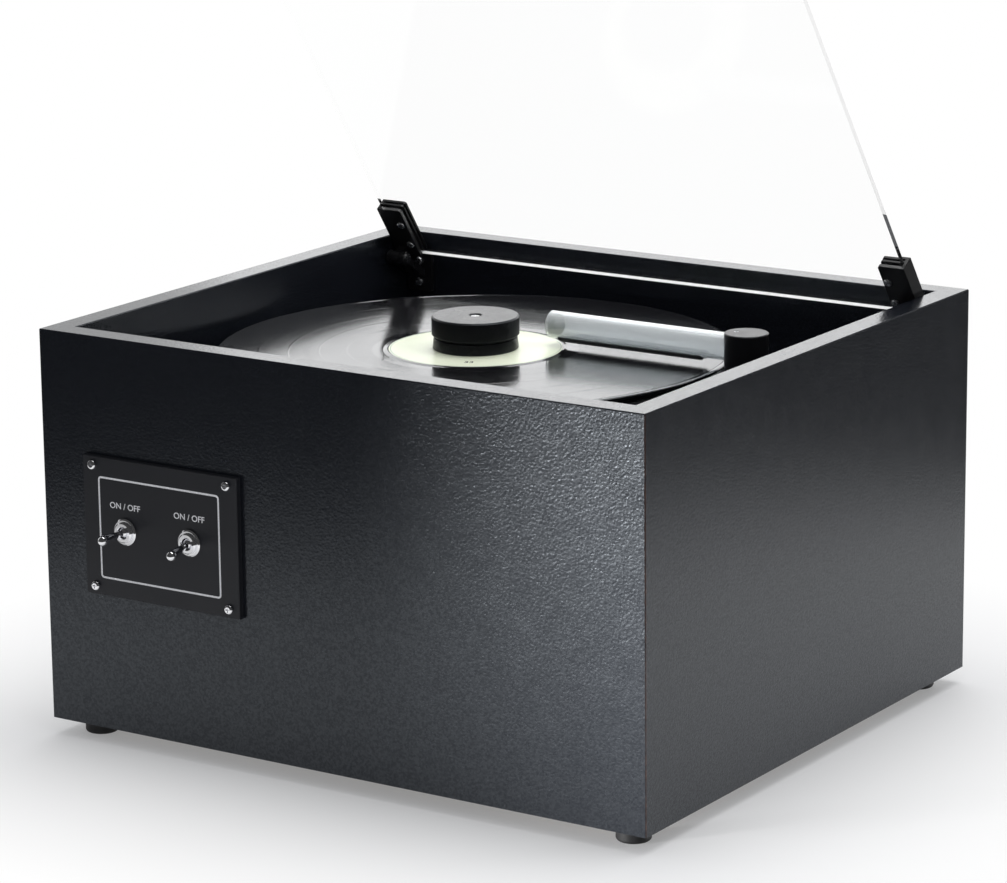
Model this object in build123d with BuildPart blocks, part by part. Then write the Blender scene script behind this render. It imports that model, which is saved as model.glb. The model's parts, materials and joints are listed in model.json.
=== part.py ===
from build123d import *
from math import cos, pi, radians, sin, sqrt, tan
import os

# Record cleaning machine: an open-topped cabinet with a clear lid, a turntable with a
# screw-down clamp, and a swinging suction arm over a waste tank and a vacuum motor.
# Millimetres. X is to the right seen from the front, Y to the back, Z up.
# The origin is on the table, under the middle of the cabinet.

# ---- driving dimensions ----

# cabinet
cabinet_width = 402.0
cabinet_depth = 362.0
cabinet_height = 230.0
wall = 15.0
edge_break = 0.6
floor_thickness = 12.0
deck_thickness = 12.0
board_play = 0.2
block_side = 18.0

# feet
foot_height = 10.0
foot_diameter = 19.5
foot_behind_wall = 5.0
foot_floor = 4.0

# turntable
spindle_x = -25.0
spindle_y = 0.0
record_below_rim = 26.0
record_diameter = 301.6
record_thickness = 2.0
record_hole = 7.24
groove_relief = 0.2
bead_width = 4.0
label_swell = 0.2
label_diameter = 101.0
label_thickness = 0.15
mat_thickness = 3.0
mat_pocket_diameter = 109.0
platter_diameter = 292.0
platter_thickness = 12.0
platter_gap = 9.0
pin_diameter = 7.1
thread_diameter = 6.35
shaft_diameter = 12.0
shaft_bottom_above_bracket = 3.0
hub_flange_diameter = 60.0
hub_flange_thickness = 5.0
bearing_wall = 7.0
bearing_below_deck = 16.0
bearing_flange_diameter = 48.0
flange_thickness = 3.0

# screw-down clamp
clamp_diameter = 51.0
clamp_knob_height = 11.3
clamp_groove = 1.5
clamp_neck_diameter = 46.0
clamp_ring_height = 6.3
clamp_ring_top_diameter = 48.8
clamp_ring_diameter = 50.0
clamp_bore_chamfer = 0.9

# turntable drive: a slow synchronous motor and one pair of spur gears
gear_module = 1.0
gear_teeth = 60
pinion_teeth = 15
gear_backlash = 0.5
gear_addendum = 0.7
gear_dedendum = 1.3
gear_flank_degrees = 20.0
gear_width = 8.0
gear_hub_diameter = 24.0
gear_hub_length = 6.0
gear_above_bracket = 9.0
drive_motor_diameter = 64.0
drive_motor_height = 52.0
motor_shaft_diameter = 6.0
motor_boss_diameter = 20.0
bracket_thickness = 3.0
standoff_length = 45.0
standoff_diameter = 10.0

# suction arm
arm_x = 138.0
arm_y = 31.0
arm_tube_above_record = 12.0
tube_diameter = 15.9
tube_wall = 1.6
tube_reach = 130.0
tube_end_in_post = 3.0
tube_slot_width = 2.6
tube_slot_start = 10.0
tube_slot_length = 100.0
strip_start = 7.0
strip_length = 96.0
strip_width = 5.2
strip_thickness = 1.6
plug_depth = 5.0
post_diameter = 25.4
post_roof = 1.5
stem_diameter = 18.0
stem_bore = 12.0
stem_length = 38.0
arm_drop = 1.7
socket_flange_diameter = 45.0
socket_diameter = 29.0
socket_length = 40.0
spring_well_depth = 20.0
spring_wire = 1.6
spring_turns = 5
nozzle_diameter = 20.0
nozzle_bore = 15.0
nozzle_in_tank = 10.0
seal_section = 1.9
set_screw_diameter = 3.0

# lid and its hinges
lid_open_degrees = 55.0
lid_thickness = 3.2
lid_side_gap = 3.2
lid_front_gap = 2.5
lid_below_rim = 0.8
lid_behind_pivot = 4.1
pivot_from_back_wall = 22.5
pivot_below_lid = 11.1
hinge_width = 17.6
hinge_side_gap = 0.8
clip_length = 39.8
clip_behind_lid = 0.9
clip_front_plate = 2.3
clip_web = 1.2
clip_spare_slot = 1.5
clip_corner = 1.8
clip_back_plate = 1.8
clip_closed_side = 2.2
clip_screw_inset = 3.8
clip_screw_places = (5.7, 22.6)
knuckle_radius = 4.5
knuckle_front = 2.9
ear_inset = 5.0
ear_width = 3.2
ear_radius = 4.4
ear_bar_height = 4.4
hinge_pin_diameter = 4.0
hinge_plate_thickness = 3.0
hinge_plate_above_screw = 5.5
hinge_plate_below_screw = 6.0
hinge_screw_drops = (5.4, 18.3)
ear_foot_drop = 13.2

# switch panel
panel_width = 108.2
panel_height = 81.0
panel_thickness = 3.7
panel_x = -115.1
panel_above_cabinet_foot = 121.2
panel_screw_spacing_x = 94.4
panel_screw_spacing_z = 70.8
panel_hole_margin = 12.5
toggle_spacing = 45.3
toggles_left_of_panel_middle = 2.0
toggle_below_panel_middle = 0.9
toggle_tilt = 12.5
left_toggle_turn = 60.0
bushing_diameter = 11.9
bushing_bore = 6.7
bushing_stand = 3.6
nut_diameter = 15.6
nut_thickness = 1.8
lever_length = 19.5
lever_neck_diameter = 3.2
lever_tip_diameter = 5.8
lever_tail = 11.0
lever_pin_diameter = 1.6
pivot_outside_panel = 0.5
switch_width = 17.0
switch_height = 33.0
switch_depth = 28.0
switch_frame_thickness = 1.5

# waste tank
tank_width = 112.0
tank_depth = 156.0
tank_height = 92.0
tank_wall = 3.0
tank_corner = 8.0
tank_x = 118.0
tank_y = 44.0
tank_cover_lip = 2.0
outlet_x = 92.0

# vacuum motor
vacuum_x = -108.0
vacuum_y = 84.0
can_diameter = 104.0
can_height = 58.0
fan_shell_diameter = 140.0
fan_shell_height = 42.0
sheet_metal = 2.0
stator_bore = 54.0
armature_diameter = 50.0
armature_height = 28.0
impeller_diameter = 118.0
impeller_height = 20.0
impeller_eye = 44.0
impeller_blades = 8
fan_shaft_diameter = 8.0
hose_diameter = 32.0
hose_wall = 2.5
hose_height = 152.0
hose_bend = 20.0
spigot_wall = 2.0

# back of the cabinet
back_stand_out = 25.5
drain_x = 118.0
drain_height = 34.0
drain_pipe_diameter = 12.0
drain_bore = 5.0
drain_body_diameter = 16.0
drain_handle_length = 22.0
grille_side = 84.0
grille_screw_spacing = 72.0
grille_opening = 62.0
grille_thickness = 2.5
grille_slots = 7
grille_slot_width = 4.0
grille_height_above_table = 84.0
inlet_x = -14.0
inlet_height = 64.0
inlet_flange_width = 50.0
inlet_flange_height = 58.0
inlet_flange_thickness = 3.0
inlet_screw_spacing = 40.0
inlet_body_width = 27.0
inlet_body_height = 47.0
inlet_body_depth = 31.0
socket_recess_width = 24.0
socket_recess_height = 16.5
socket_recess_depth = 18.0
inlet_blade_length = 12.0
fuse_width = 19.0
fuse_height = 8.0
fuse_depth = 22.0
fuse_length = 14.0
fuse_tube_diameter = 5.0

# screws: shank diameter, length, head diameter, head height
panel_screw = (3.0, 12.0, 5.6, 2.0)
hinge_screw = (3.0, 12.0, 5.8, 2.2)
clip_screw = (2.5, 2.2, 5.0, 1.7)
deck_screw = (4.0, 30.0, 8.0, 2.4)
foot_screw = (3.5, 24.0, 7.0, 2.2)
flange_screw = (3.0, 9.0, 5.6, 2.0)
machine_screw = (4.0, 20.0, 7.0, 2.4)
platter_screw = (3.0, 13.0, 5.6, 1.8)

# wiring
cable_diameter = 5.0

# fits
running_gap = 0.05
slide_gap = 0.3

# ---- places that follow from them ----

cabinet_foot = foot_height
rim = cabinet_foot + cabinet_height
inner_x = cabinet_width / 2 - wall
inner_y = cabinet_depth / 2 - wall
front_face = -cabinet_depth / 2
back_face = cabinet_depth / 2
floor_top = cabinet_foot + floor_thickness
foot_inset = wall + foot_behind_wall

record_top = rim - record_below_rim
record_middle = record_top - record_thickness / 2
record_bottom = record_top - record_thickness
platter_top = record_bottom - mat_thickness
platter_bottom = platter_top - platter_thickness
deck_top = platter_bottom - platter_gap
deck_bottom = deck_top - deck_thickness
swell_half = record_thickness / 2 + label_swell
label_top = record_middle + swell_half + label_thickness
bracket_top = deck_bottom - standoff_length
bracket_bottom = bracket_top - bracket_thickness
shaft_bottom = bracket_top + shaft_bottom_above_bracket
gear_bottom = bracket_top + gear_above_bracket
pitch_radius = gear_module * gear_teeth / 2
pinion_pitch_radius = gear_module * pinion_teeth / 2
motor_x = spindle_x + pitch_radius + pinion_pitch_radius
clamp_ring_bottom = label_top + running_gap
clamp_ring_top = clamp_ring_bottom + clamp_ring_height
clamp_knob_bottom = clamp_ring_top + clamp_groove
clamp_top = clamp_knob_bottom + clamp_knob_height

foot_places = [
    (x * (cabinet_width / 2 - foot_inset), y * (cabinet_depth / 2 - foot_inset))
    for x in (-1, 1)
    for y in (-1, 1)
]
block_places = [
    (x * (inner_x - board_play - block_side / 2), y * (inner_y - board_play - block_side / 2))
    for x in (-1, 1)
    for y in (-1, 1)
]


def level(height):
    """The horizontal plane at a height above the table."""
    return Plane.XY.offset(height)


def facing_down(height):
    """A horizontal plane whose normal points down; its axes are X and minus Y."""
    return Plane(origin=(0, 0, height), x_dir=(1, 0, 0), z_dir=(0, 0, -1))


def facing_front(y):
    """An upright plane at y whose normal points to the front; its axes are X and Z."""
    return Plane(origin=(0, y, 0), x_dir=(1, 0, 0), z_dir=(0, -1, 0))


def facing_back(y):
    """An upright plane at y whose normal points to the back; its axes are minus X and Z."""
    return Plane(origin=(0, y, 0), x_dir=(-1, 0, 0), z_dir=(0, 1, 0))


def facing_right(x):
    """An upright plane at x whose normal points to the right; its axes are Y and Z."""
    return Plane(origin=(x, 0, 0), x_dir=(0, 1, 0), z_dir=(1, 0, 0))


def pan_screws(plane, places, size):
    """Pan-head cross-recess screws: heads stand on the plane, shanks go in behind it."""
    shank, length, head, height = size
    with BuildPart() as screw:
        with BuildSketch(Plane.XZ):
            with BuildLine():
                Polyline(
                    (0, height),
                    (0, -length),
                    (shank * 0.3, -length),
                    (shank / 2, -length + shank * 0.3),
                    (shank / 2, 0),
                    (head / 2, 0),
                    (head / 2, height * 0.35),
                )
                ThreePointArc(
                    (head / 2, height * 0.35),
                    (head * 0.43, height * 0.8),
                    (head * 0.28, height),
                )
                Line((head * 0.28, height), (0, height))
            make_face()
        revolve(axis=Axis.Z)
        with BuildSketch(level(height)):
            Rectangle(head * 0.52, head * 0.13)
            Rectangle(head * 0.13, head * 0.52)
        extrude(amount=-height * 0.55, mode=Mode.SUBTRACT)
    with BuildPart(plane) as screws:
        with Locations(*places):
            add(screw.part)
    return screws.part


def pilot_holes(plane, places, size):
    """The holes that such screws need in the pieces they go through and into."""
    shank, length, head, height = size
    with BuildPart() as holes:
        with BuildSketch(plane):
            with Locations(*places):
                Circle(shank / 2 + running_gap)
        extrude(amount=-length - running_gap)
    return holes.part


def turned(profile, plane):
    """A solid turned about a plane's normal from (radius, height) points."""
    with BuildPart() as piece:
        with BuildSketch(Plane.XZ):
            Polygon(*profile, align=None)
        revolve(axis=Axis.Z)
    return piece.part.moved(plane.location)


spindle_axis = Plane(origin=(spindle_x, spindle_y, 0))
arm_axis = Plane(origin=(arm_x, arm_y, 0))
vacuum_axis = Plane(origin=(vacuum_x, vacuum_y, 0))


# ---- cabinet ----


def wall_board(turn, length, half):
    """One mitred wall: its outer face is half away from the middle, turned about Z."""
    base = level(cabinet_foot).rotated((0, 0, turn))
    with BuildPart() as board:
        with BuildSketch(base):
            Polygon(
                (-length / 2, -half),
                (length / 2, -half),
                (length / 2 - wall, -half + wall),
                (-length / 2 + wall, -half + wall),
                align=None,
            )
        extrude(amount=cabinet_height)
        top_edges = board.edges().group_by(Axis.Z)[-1].sort_by(SortBy.LENGTH)[-2:]
        upright = board.edges().filter_by(Axis.Z).sort_by_distance((0, 0, rim / 2))[-2:]
        chamfer(top_edges + upright, edge_break)
    return board.part


switch_z = cabinet_foot + panel_above_cabinet_foot
toggle_z = switch_z - toggle_below_panel_middle
toggles_x = panel_x - toggles_left_of_panel_middle
toggle_places = [(toggles_x - toggle_spacing / 2, toggle_z), (toggles_x + toggle_spacing / 2, toggle_z)]
toggle_turns = [left_toggle_turn, 0]
panel_screw_places = [
    (panel_x + x * panel_screw_spacing_x / 2, switch_z + z * panel_screw_spacing_z / 2)
    for x in (-1, 1)
    for z in (-1, 1)
]
panel_front = front_face - panel_thickness

with BuildPart() as cabinet_front:
    add(wall_board(0, cabinet_width, cabinet_depth / 2))
    with BuildSketch(facing_front(front_face)):
        with Locations((panel_x, switch_z)):
            RectangleRounded(
                panel_width - 2 * panel_hole_margin, panel_height - 2 * panel_hole_margin, 3
            )
    extrude(amount=-wall, mode=Mode.SUBTRACT)
    add(pilot_holes(facing_front(panel_front), panel_screw_places, panel_screw), mode=Mode.SUBTRACT)

hinge_outer = inner_x - hinge_side_gap
hinge_inner = hinge_outer - hinge_width
hinge_middle = (hinge_inner + hinge_outer) / 2
ear_inner = hinge_inner + ear_inset
pivot_y = inner_y - pivot_from_back_wall
pivot_z = rim - lid_below_rim - lid_thickness / 2 - pivot_below_lid
hinge_plate_face = inner_y - hinge_plate_thickness
hinge_screw_at = [
    (x * hinge_middle, pivot_z - drop) for x in (-1, 1) for drop in hinge_screw_drops
]
grille_z = grille_height_above_table
grille_screw_places = [
    (vacuum_x + x * grille_screw_spacing / 2, grille_z + z * grille_screw_spacing / 2)
    for x in (-1, 1)
    for z in (-1, 1)
]
inlet_screw_places = [(inlet_x + x * inlet_screw_spacing / 2, inlet_height) for x in (-1, 1)]


def from_behind(places):
    """The same places in the axes of a plane that faces the back."""
    return [(-x, z) for x, z in places]


with BuildPart() as cabinet_back:
    add(wall_board(180, cabinet_width, cabinet_depth / 2))
    with BuildSketch(facing_back(back_face)):
        with Locations(*from_behind([(vacuum_x, grille_z)])):
            Rectangle(grille_opening, grille_opening)
        with Locations(*from_behind([(inlet_x, inlet_height)])):
            Rectangle(inlet_body_width + 2 * slide_gap, inlet_body_height + 2 * slide_gap)
        with Locations(*from_behind([(drain_x, drain_height)])):
            Circle(drain_pipe_diameter / 2 + running_gap)
    extrude(amount=-wall, mode=Mode.SUBTRACT)
    add(
        pilot_holes(facing_front(hinge_plate_face), hinge_screw_at, hinge_screw),
        mode=Mode.SUBTRACT,
    )
    add(
        pilot_holes(
            facing_back(back_face + grille_thickness), from_behind(grille_screw_places), flange_screw
        ),
        mode=Mode.SUBTRACT,
    )
    add(
        pilot_holes(
            facing_back(back_face + inlet_flange_thickness),
            from_behind(inlet_screw_places),
            flange_screw,
        ),
        mode=Mode.SUBTRACT,
    )

with BuildPart() as cabinet_left:
    add(wall_board(270, cabinet_depth, cabinet_width / 2))

with BuildPart() as cabinet_right:
    add(wall_board(90, cabinet_depth, cabinet_width / 2))

tank_lug = 14.0
lug_places = [
    (tank_x + x * 30, tank_y + y * (tank_depth / 2 + tank_lug / 2))
    for x in (-1, 1)
    for y in (-1, 1)
]
can_lug_radius = can_diameter / 2 + 4
can_screw_places = [
    (
        vacuum_x + can_lug_radius * cos(radians(45 + 90 * n)),
        vacuum_y + can_lug_radius * sin(radians(45 + 90 * n)),
    )
    for n in range(4)
]

foot_screw_plane = facing_down(foot_floor)

with BuildPart() as bottom_board:
    with BuildSketch(level(cabinet_foot)):
        Rectangle(2 * (inner_x - board_play), 2 * (inner_y - board_play))
    extrude(amount=floor_thickness)
    add(pilot_holes(foot_screw_plane, foot_places, foot_screw), mode=Mode.SUBTRACT)
    add(pilot_holes(level(floor_top + tank_wall), lug_places, flange_screw), mode=Mode.SUBTRACT)
    add(
        pilot_holes(level(floor_top + flange_thickness), can_screw_places, flange_screw),
        mode=Mode.SUBTRACT,
    )

with BuildPart() as corner_blocks:
    with BuildSketch(level(floor_top)):
        with Locations(*block_places):
            Rectangle(block_side, block_side)
    extrude(amount=deck_bottom - floor_top)
    add(pilot_holes(foot_screw_plane, foot_places, foot_screw), mode=Mode.SUBTRACT)
    add(pilot_holes(level(deck_top), block_places, deck_screw), mode=Mode.SUBTRACT)

# ---- feet ----

with BuildPart() as rubber_feet:
    with BuildSketch(level(0)):
        with Locations(*foot_places):
            Circle(foot_diameter / 2)
    extrude(amount=foot_height)
    fillet(rubber_feet.edges().filter_by(GeomType.CIRCLE).group_by(Axis.Z)[0], 1.8)
    with BuildSketch(level(0)):
        with Locations(*foot_places):
            Circle(foot_screw[2] / 2 + 0.8)
    extrude(amount=foot_floor, mode=Mode.SUBTRACT)
    add(pilot_holes(foot_screw_plane, foot_places, foot_screw), mode=Mode.SUBTRACT)

foot_screws = pan_screws(foot_screw_plane, foot_places, foot_screw)

# ---- deck, with what is fastened to it ----

bearing_screw_places = [
    (
        spindle_x + (shaft_diameter / 2 + bearing_wall + 6) * cos(radians(45 + 90 * n)),
        -spindle_y - (shaft_diameter / 2 + bearing_wall + 6) * sin(radians(45 + 90 * n)),
    )
    for n in range(4)
]
socket_screw_radius = (post_diameter + socket_flange_diameter) / 4 + 0.6
socket_screw_places = [
    (
        arm_x + socket_screw_radius * cos(radians(120 * n)),
        arm_y + socket_screw_radius * sin(radians(120 * n)),
    )
    for n in range(3)
]
standoff_places = [
    (spindle_x - 32, spindle_y - 30),
    (spindle_x - 32, spindle_y + 20),
    (spindle_x + 77, spindle_y - 34),
    (spindle_x + 77, spindle_y + 34),
]
bearing_radius = shaft_diameter / 2 + bearing_wall
bearing_top = platter_bottom - hub_flange_thickness - slide_gap
socket_top = deck_top + flange_thickness

with BuildPart() as deck_board:
    with BuildSketch(level(deck_bottom)):
        Rectangle(2 * (inner_x - board_play), 2 * (inner_y - board_play))
        with Locations((spindle_x, spindle_y)):
            Circle(bearing_radius + board_play, mode=Mode.SUBTRACT)
        with Locations((arm_x, arm_y)):
            Circle(socket_diameter / 2 + board_play, mode=Mode.SUBTRACT)
    extrude(amount=deck_thickness)
    add(pilot_holes(level(deck_top), block_places, deck_screw), mode=Mode.SUBTRACT)
    add(pilot_holes(level(deck_top), standoff_places, machine_screw), mode=Mode.SUBTRACT)
    add(
        pilot_holes(facing_down(deck_bottom - flange_thickness), bearing_screw_places, flange_screw),
        mode=Mode.SUBTRACT,
    )
    add(pilot_holes(level(socket_top), socket_screw_places, flange_screw), mode=Mode.SUBTRACT)

deck_screws = pan_screws(level(deck_top), block_places, deck_screw)

# ---- turntable ----

with BuildPart() as spindle_bearing:
    with BuildSketch(level(deck_bottom - flange_thickness)):
        with Locations((spindle_x, spindle_y)):
            Circle(bearing_flange_diameter / 2)
    extrude(amount=flange_thickness)
    with BuildSketch(level(deck_bottom - bearing_below_deck)):
        with Locations((spindle_x, spindle_y)):
            Circle(bearing_radius)
    extrude(amount=bearing_top - deck_bottom + bearing_below_deck)
    with BuildSketch(level(deck_bottom - bearing_below_deck)):
        with Locations((spindle_x, spindle_y)):
            Circle(shaft_diameter / 2 + running_gap)
    extrude(amount=bearing_top - deck_bottom + bearing_below_deck, mode=Mode.SUBTRACT)
    add(
        pilot_holes(facing_down(deck_bottom - flange_thickness), bearing_screw_places, flange_screw),
        mode=Mode.SUBTRACT,
    )

shaft_r = shaft_diameter / 2
pin_r = pin_diameter / 2
thread_r = thread_diameter / 2
flange_bottom = platter_bottom - hub_flange_thickness
tip_chamfer = 0.7
tip_below_clamp = 0.6
thread_start = clamp_ring_bottom + 2.5
platter_screw_places = [
    (
        spindle_x + hub_flange_diameter * 0.37 * cos(radians(120 * n)),
        -spindle_y - hub_flange_diameter * 0.37 * sin(radians(120 * n)),
    )
    for n in range(3)
]

with BuildPart() as spindle:
    add(
        turned(
            [
                (0, shaft_bottom),
                (shaft_r - 1, shaft_bottom),
                (shaft_r, shaft_bottom + 1),
                (shaft_r, flange_bottom),
                (hub_flange_diameter / 2, flange_bottom),
                (hub_flange_diameter / 2, platter_bottom),
                (shaft_r, platter_bottom),
                (shaft_r, platter_top - board_play),
                (pin_r, platter_top - board_play),
                (pin_r, thread_start - (pin_r - thread_r)),
                (thread_r, thread_start),
                (thread_r, clamp_top - tip_below_clamp - tip_chamfer),
                (thread_r - tip_chamfer, clamp_top - tip_below_clamp),
                (0, clamp_top - tip_below_clamp),
            ],
            spindle_axis,
        )
    )
    add(
        pilot_holes(facing_down(flange_bottom), platter_screw_places, platter_screw),
        mode=Mode.SUBTRACT,
    )

with BuildPart() as platter:
    with BuildSketch(level(platter_bottom)):
        with Locations((spindle_x, spindle_y)):
            Circle(platter_diameter / 2)
            Circle(shaft_r + running_gap, mode=Mode.SUBTRACT)
    extrude(amount=platter_thickness)
    fillet(platter.edges().filter_by(GeomType.CIRCLE).sort_by(SortBy.RADIUS)[-2:], 1.2)
    add(
        pilot_holes(facing_down(flange_bottom), platter_screw_places, platter_screw),
        mode=Mode.SUBTRACT,
    )

platter_screws = pan_screws(facing_down(flange_bottom), platter_screw_places, platter_screw)

mat_top = record_bottom + groove_relief - running_gap
mat_pocket_floor = record_middle - swell_half - label_thickness - 2 * running_gap

with BuildPart() as platter_mat:
    with BuildSketch(level(platter_top)):
        with Locations((spindle_x, spindle_y)):
            Circle(platter_diameter / 2 - 1)
            Circle(record_hole / 2, mode=Mode.SUBTRACT)
    extrude(amount=mat_top - platter_top)
    with BuildSketch(level(mat_pocket_floor)):
        with Locations((spindle_x, spindle_y)):
            Circle(mat_pocket_diameter / 2)
    extrude(amount=mat_top - mat_pocket_floor, mode=Mode.SUBTRACT)

record_r = record_diameter / 2
groove_half = record_thickness / 2 - groove_relief
label_zone = label_diameter / 2 + 1.5
upper_half = [
    (record_hole / 2, record_middle + swell_half),
    (label_zone, record_middle + swell_half),
    (label_zone + 1.2, record_middle + groove_half),
    (record_r - bead_width, record_middle + groove_half),
    (record_r - bead_width + 0.8, record_top),
    (record_r - 0.7, record_top),
    (record_r, record_top - 0.6),
]
lower_half = [(r, 2 * record_middle - z) for r, z in reversed(upper_half)]

with BuildPart() as vinyl_record:
    add(turned(upper_half + lower_half, spindle_axis))

with BuildPart() as record_labels:
    with BuildSketch(
        level(record_middle + swell_half), level(record_middle - swell_half - label_thickness)
    ):
        with Locations((spindle_x, spindle_y)):
            Circle(label_diameter / 2)
            Circle(record_hole / 2, mode=Mode.SUBTRACT)
    extrude(amount=label_thickness)

# ---- clamp: the ring stays still on the label while the knob above it is screwed down ----

with BuildPart() as clamp_ring:
    add(
        turned(
            [
                (pin_r + running_gap, clamp_ring_bottom),
                (clamp_ring_diameter / 2 - 0.4, clamp_ring_bottom),
                (clamp_ring_diameter / 2, clamp_ring_bottom + 0.4),
                (clamp_ring_top_diameter / 2, clamp_ring_top - 0.3),
                (clamp_ring_top_diameter / 2 - 0.3, clamp_ring_top),
                (pin_r + running_gap, clamp_ring_top),
            ],
            spindle_axis,
        )
    )

with BuildPart() as clamp_knob:
    add(
        turned(
            [
                (thread_r + running_gap, clamp_ring_top + slide_gap),
                (clamp_neck_diameter / 2, clamp_ring_top + slide_gap),
                (clamp_neck_diameter / 2, clamp_knob_bottom),
                (clamp_diameter / 2 - 0.5, clamp_knob_bottom),
                (clamp_diameter / 2, clamp_knob_bottom + 0.5),
                (clamp_diameter / 2, clamp_top - 0.9),
                (clamp_diameter / 2 - 0.9, clamp_top),
                (thread_r + running_gap + clamp_bore_chamfer, clamp_top),
                (thread_r + running_gap, clamp_top - clamp_bore_chamfer),
            ],
            spindle_axis,
        )
    )

# ---- turntable drive ----


def spur_gear(x, bottom, teeth, first_tooth, width):
    """A straight-flanked spur gear on the upright axis at (x, spindle_y)."""
    pitch_r = gear_module * teeth / 2
    half_tooth = gear_module * pi / 4 - gear_backlash / 2
    slope = tan(radians(gear_flank_degrees))
    tip_r = pitch_r + gear_addendum * gear_module
    root_r = pitch_r - gear_dedendum * gear_module
    outline = []
    for tooth in range(teeth):
        middle = first_tooth + 2 * pi * tooth / teeth
        for side, radius in ((-1, root_r), (-1, tip_r), (1, tip_r), (1, root_r)):
            half = (half_tooth + (pitch_r - radius) * slope) / radius
            angle = middle + side * half
            outline.append((radius * cos(angle), radius * sin(angle)))
    with BuildPart() as gear:
        with BuildSketch(Plane(origin=(x, spindle_y, bottom))):
            Polygon(*outline, align=None)
        extrude(amount=width)
    return gear.part


with BuildPart() as drive_gear:
    add(spur_gear(spindle_x, gear_bottom, gear_teeth, pi / gear_teeth, gear_width))
    with BuildSketch(level(gear_bottom)):
        with Locations((spindle_x, spindle_y)):
            Circle(gear_hub_diameter / 2)
    extrude(amount=gear_width + gear_hub_length)
    with BuildSketch(level(gear_bottom)):
        with Locations((spindle_x, spindle_y)):
            Circle(shaft_diameter / 2 + running_gap)
    extrude(amount=gear_width + gear_hub_length, mode=Mode.SUBTRACT)

motor_shaft_r = motor_shaft_diameter / 2
shaft_in_motor = 30.0
pinion_bottom = gear_bottom - 1

with BuildPart() as motor_pinion:
    add(spur_gear(motor_x, pinion_bottom, pinion_teeth, pi, gear_width + 2))
    with BuildSketch(level(bracket_top - shaft_in_motor)):
        with Locations((motor_x, spindle_y)):
            Circle(motor_shaft_r)
    extrude(amount=pinion_bottom + 1 - bracket_top + shaft_in_motor)

motor_screw_places = [
    (
        motor_x + drive_motor_diameter * 0.4 * cos(radians(45 + 90 * n)),
        spindle_y + drive_motor_diameter * 0.4 * sin(radians(45 + 90 * n)),
    )
    for n in range(4)
]

with BuildPart() as drive_motor:
    with BuildSketch(level(bracket_bottom)):
        with Locations((motor_x, spindle_y)):
            Circle(drive_motor_diameter / 2)
    extrude(amount=-drive_motor_height)
    chamfer(drive_motor.edges().filter_by(GeomType.CIRCLE), 1.5)
    with BuildSketch(level(bracket_bottom)):
        with Locations((motor_x, spindle_y)):
            Circle(motor_boss_diameter / 2)
    extrude(amount=bracket_thickness)
    with BuildSketch(level(bracket_top)):
        with Locations((motor_x, spindle_y)):
            Circle(motor_shaft_r + running_gap)
    extrude(amount=-shaft_in_motor - slide_gap, mode=Mode.SUBTRACT)
    add(pilot_holes(level(bracket_top), motor_screw_places, machine_screw), mode=Mode.SUBTRACT)

with BuildPart() as motor_bracket:
    with BuildSketch(level(bracket_bottom)):
        Polygon(
            (spindle_x - 39, spindle_y - 37),
            (spindle_x + 84, spindle_y - 41),
            (spindle_x + 84, spindle_y + 41),
            (spindle_x + 35, spindle_y + 41),
            (spindle_x - 39, spindle_y + 27),
            align=None,
        )
        with Locations((motor_x, spindle_y)):
            Circle(motor_boss_diameter / 2 + board_play, mode=Mode.SUBTRACT)
    extrude(amount=bracket_thickness)
    fillet(motor_bracket.edges().filter_by(Axis.Z).group_by(SortBy.LENGTH)[-1], 5)
    add(pilot_holes(level(bracket_top), motor_screw_places, machine_screw), mode=Mode.SUBTRACT)
    add(
        pilot_holes(
            facing_down(bracket_bottom), [(x, -y) for x, y in standoff_places], machine_screw
        ),
        mode=Mode.SUBTRACT,
    )

with BuildPart() as bracket_standoffs:
    with BuildSketch(level(bracket_top)):
        with Locations(*standoff_places):
            Circle(standoff_diameter / 2)
            Circle(machine_screw[0] / 2 + running_gap, mode=Mode.SUBTRACT)
    extrude(amount=standoff_length)

with BuildPart() as machine_screws:
    add(pan_screws(level(deck_top), standoff_places, machine_screw))
    add(
        pan_screws(facing_down(bracket_bottom), [(x, -y) for x, y in standoff_places], machine_screw)
    )
    add(pan_screws(level(bracket_top), motor_screw_places, machine_screw))

# ---- suction arm ----

tube_z = record_top + arm_tube_above_record
tube_r = tube_diameter / 2
post_r = post_diameter / 2
stem_r = stem_diameter / 2
post_bottom = socket_top + 2 * slide_gap + arm_drop + 0.2
post_top = tube_z + tube_r + post_roof
stem_bottom = post_bottom - stem_length
socket_bottom = socket_top - socket_length
well_floor = socket_top - spring_well_depth
tube_free_end = arm_x - tube_reach
tube_fixed_end = arm_x - tube_end_in_post
set_screw_x = arm_x - post_r * 0.52
tube_inner_r = tube_r - tube_wall

with BuildPart() as arm_post:
    add(
        turned(
            [
                (stem_bore / 2, stem_bottom),
                (stem_r - 0.5, stem_bottom),
                (stem_r, stem_bottom + 0.5),
                (stem_r, post_bottom),
                (post_r - 0.4, post_bottom),
                (post_r, post_bottom + 0.4),
                (post_r, post_top - 0.5),
                (post_r - 0.5, post_top),
                (0, post_top),
                (0, tube_z + tube_inner_r - 1),
                (stem_bore / 2, tube_z + tube_inner_r - 1),
            ],
            arm_axis,
        )
    )
    with BuildSketch(facing_right(arm_x - post_r - 1)):
        with Locations((arm_y, tube_z)):
            Circle(tube_r + running_gap)
    extrude(amount=post_r + 1 - tube_end_in_post, mode=Mode.SUBTRACT)
    with BuildSketch(level(post_top)):
        with Locations((set_screw_x, arm_y)):
            Circle(set_screw_diameter / 2 + running_gap)
    extrude(amount=-post_roof - 1, mode=Mode.SUBTRACT)

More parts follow.
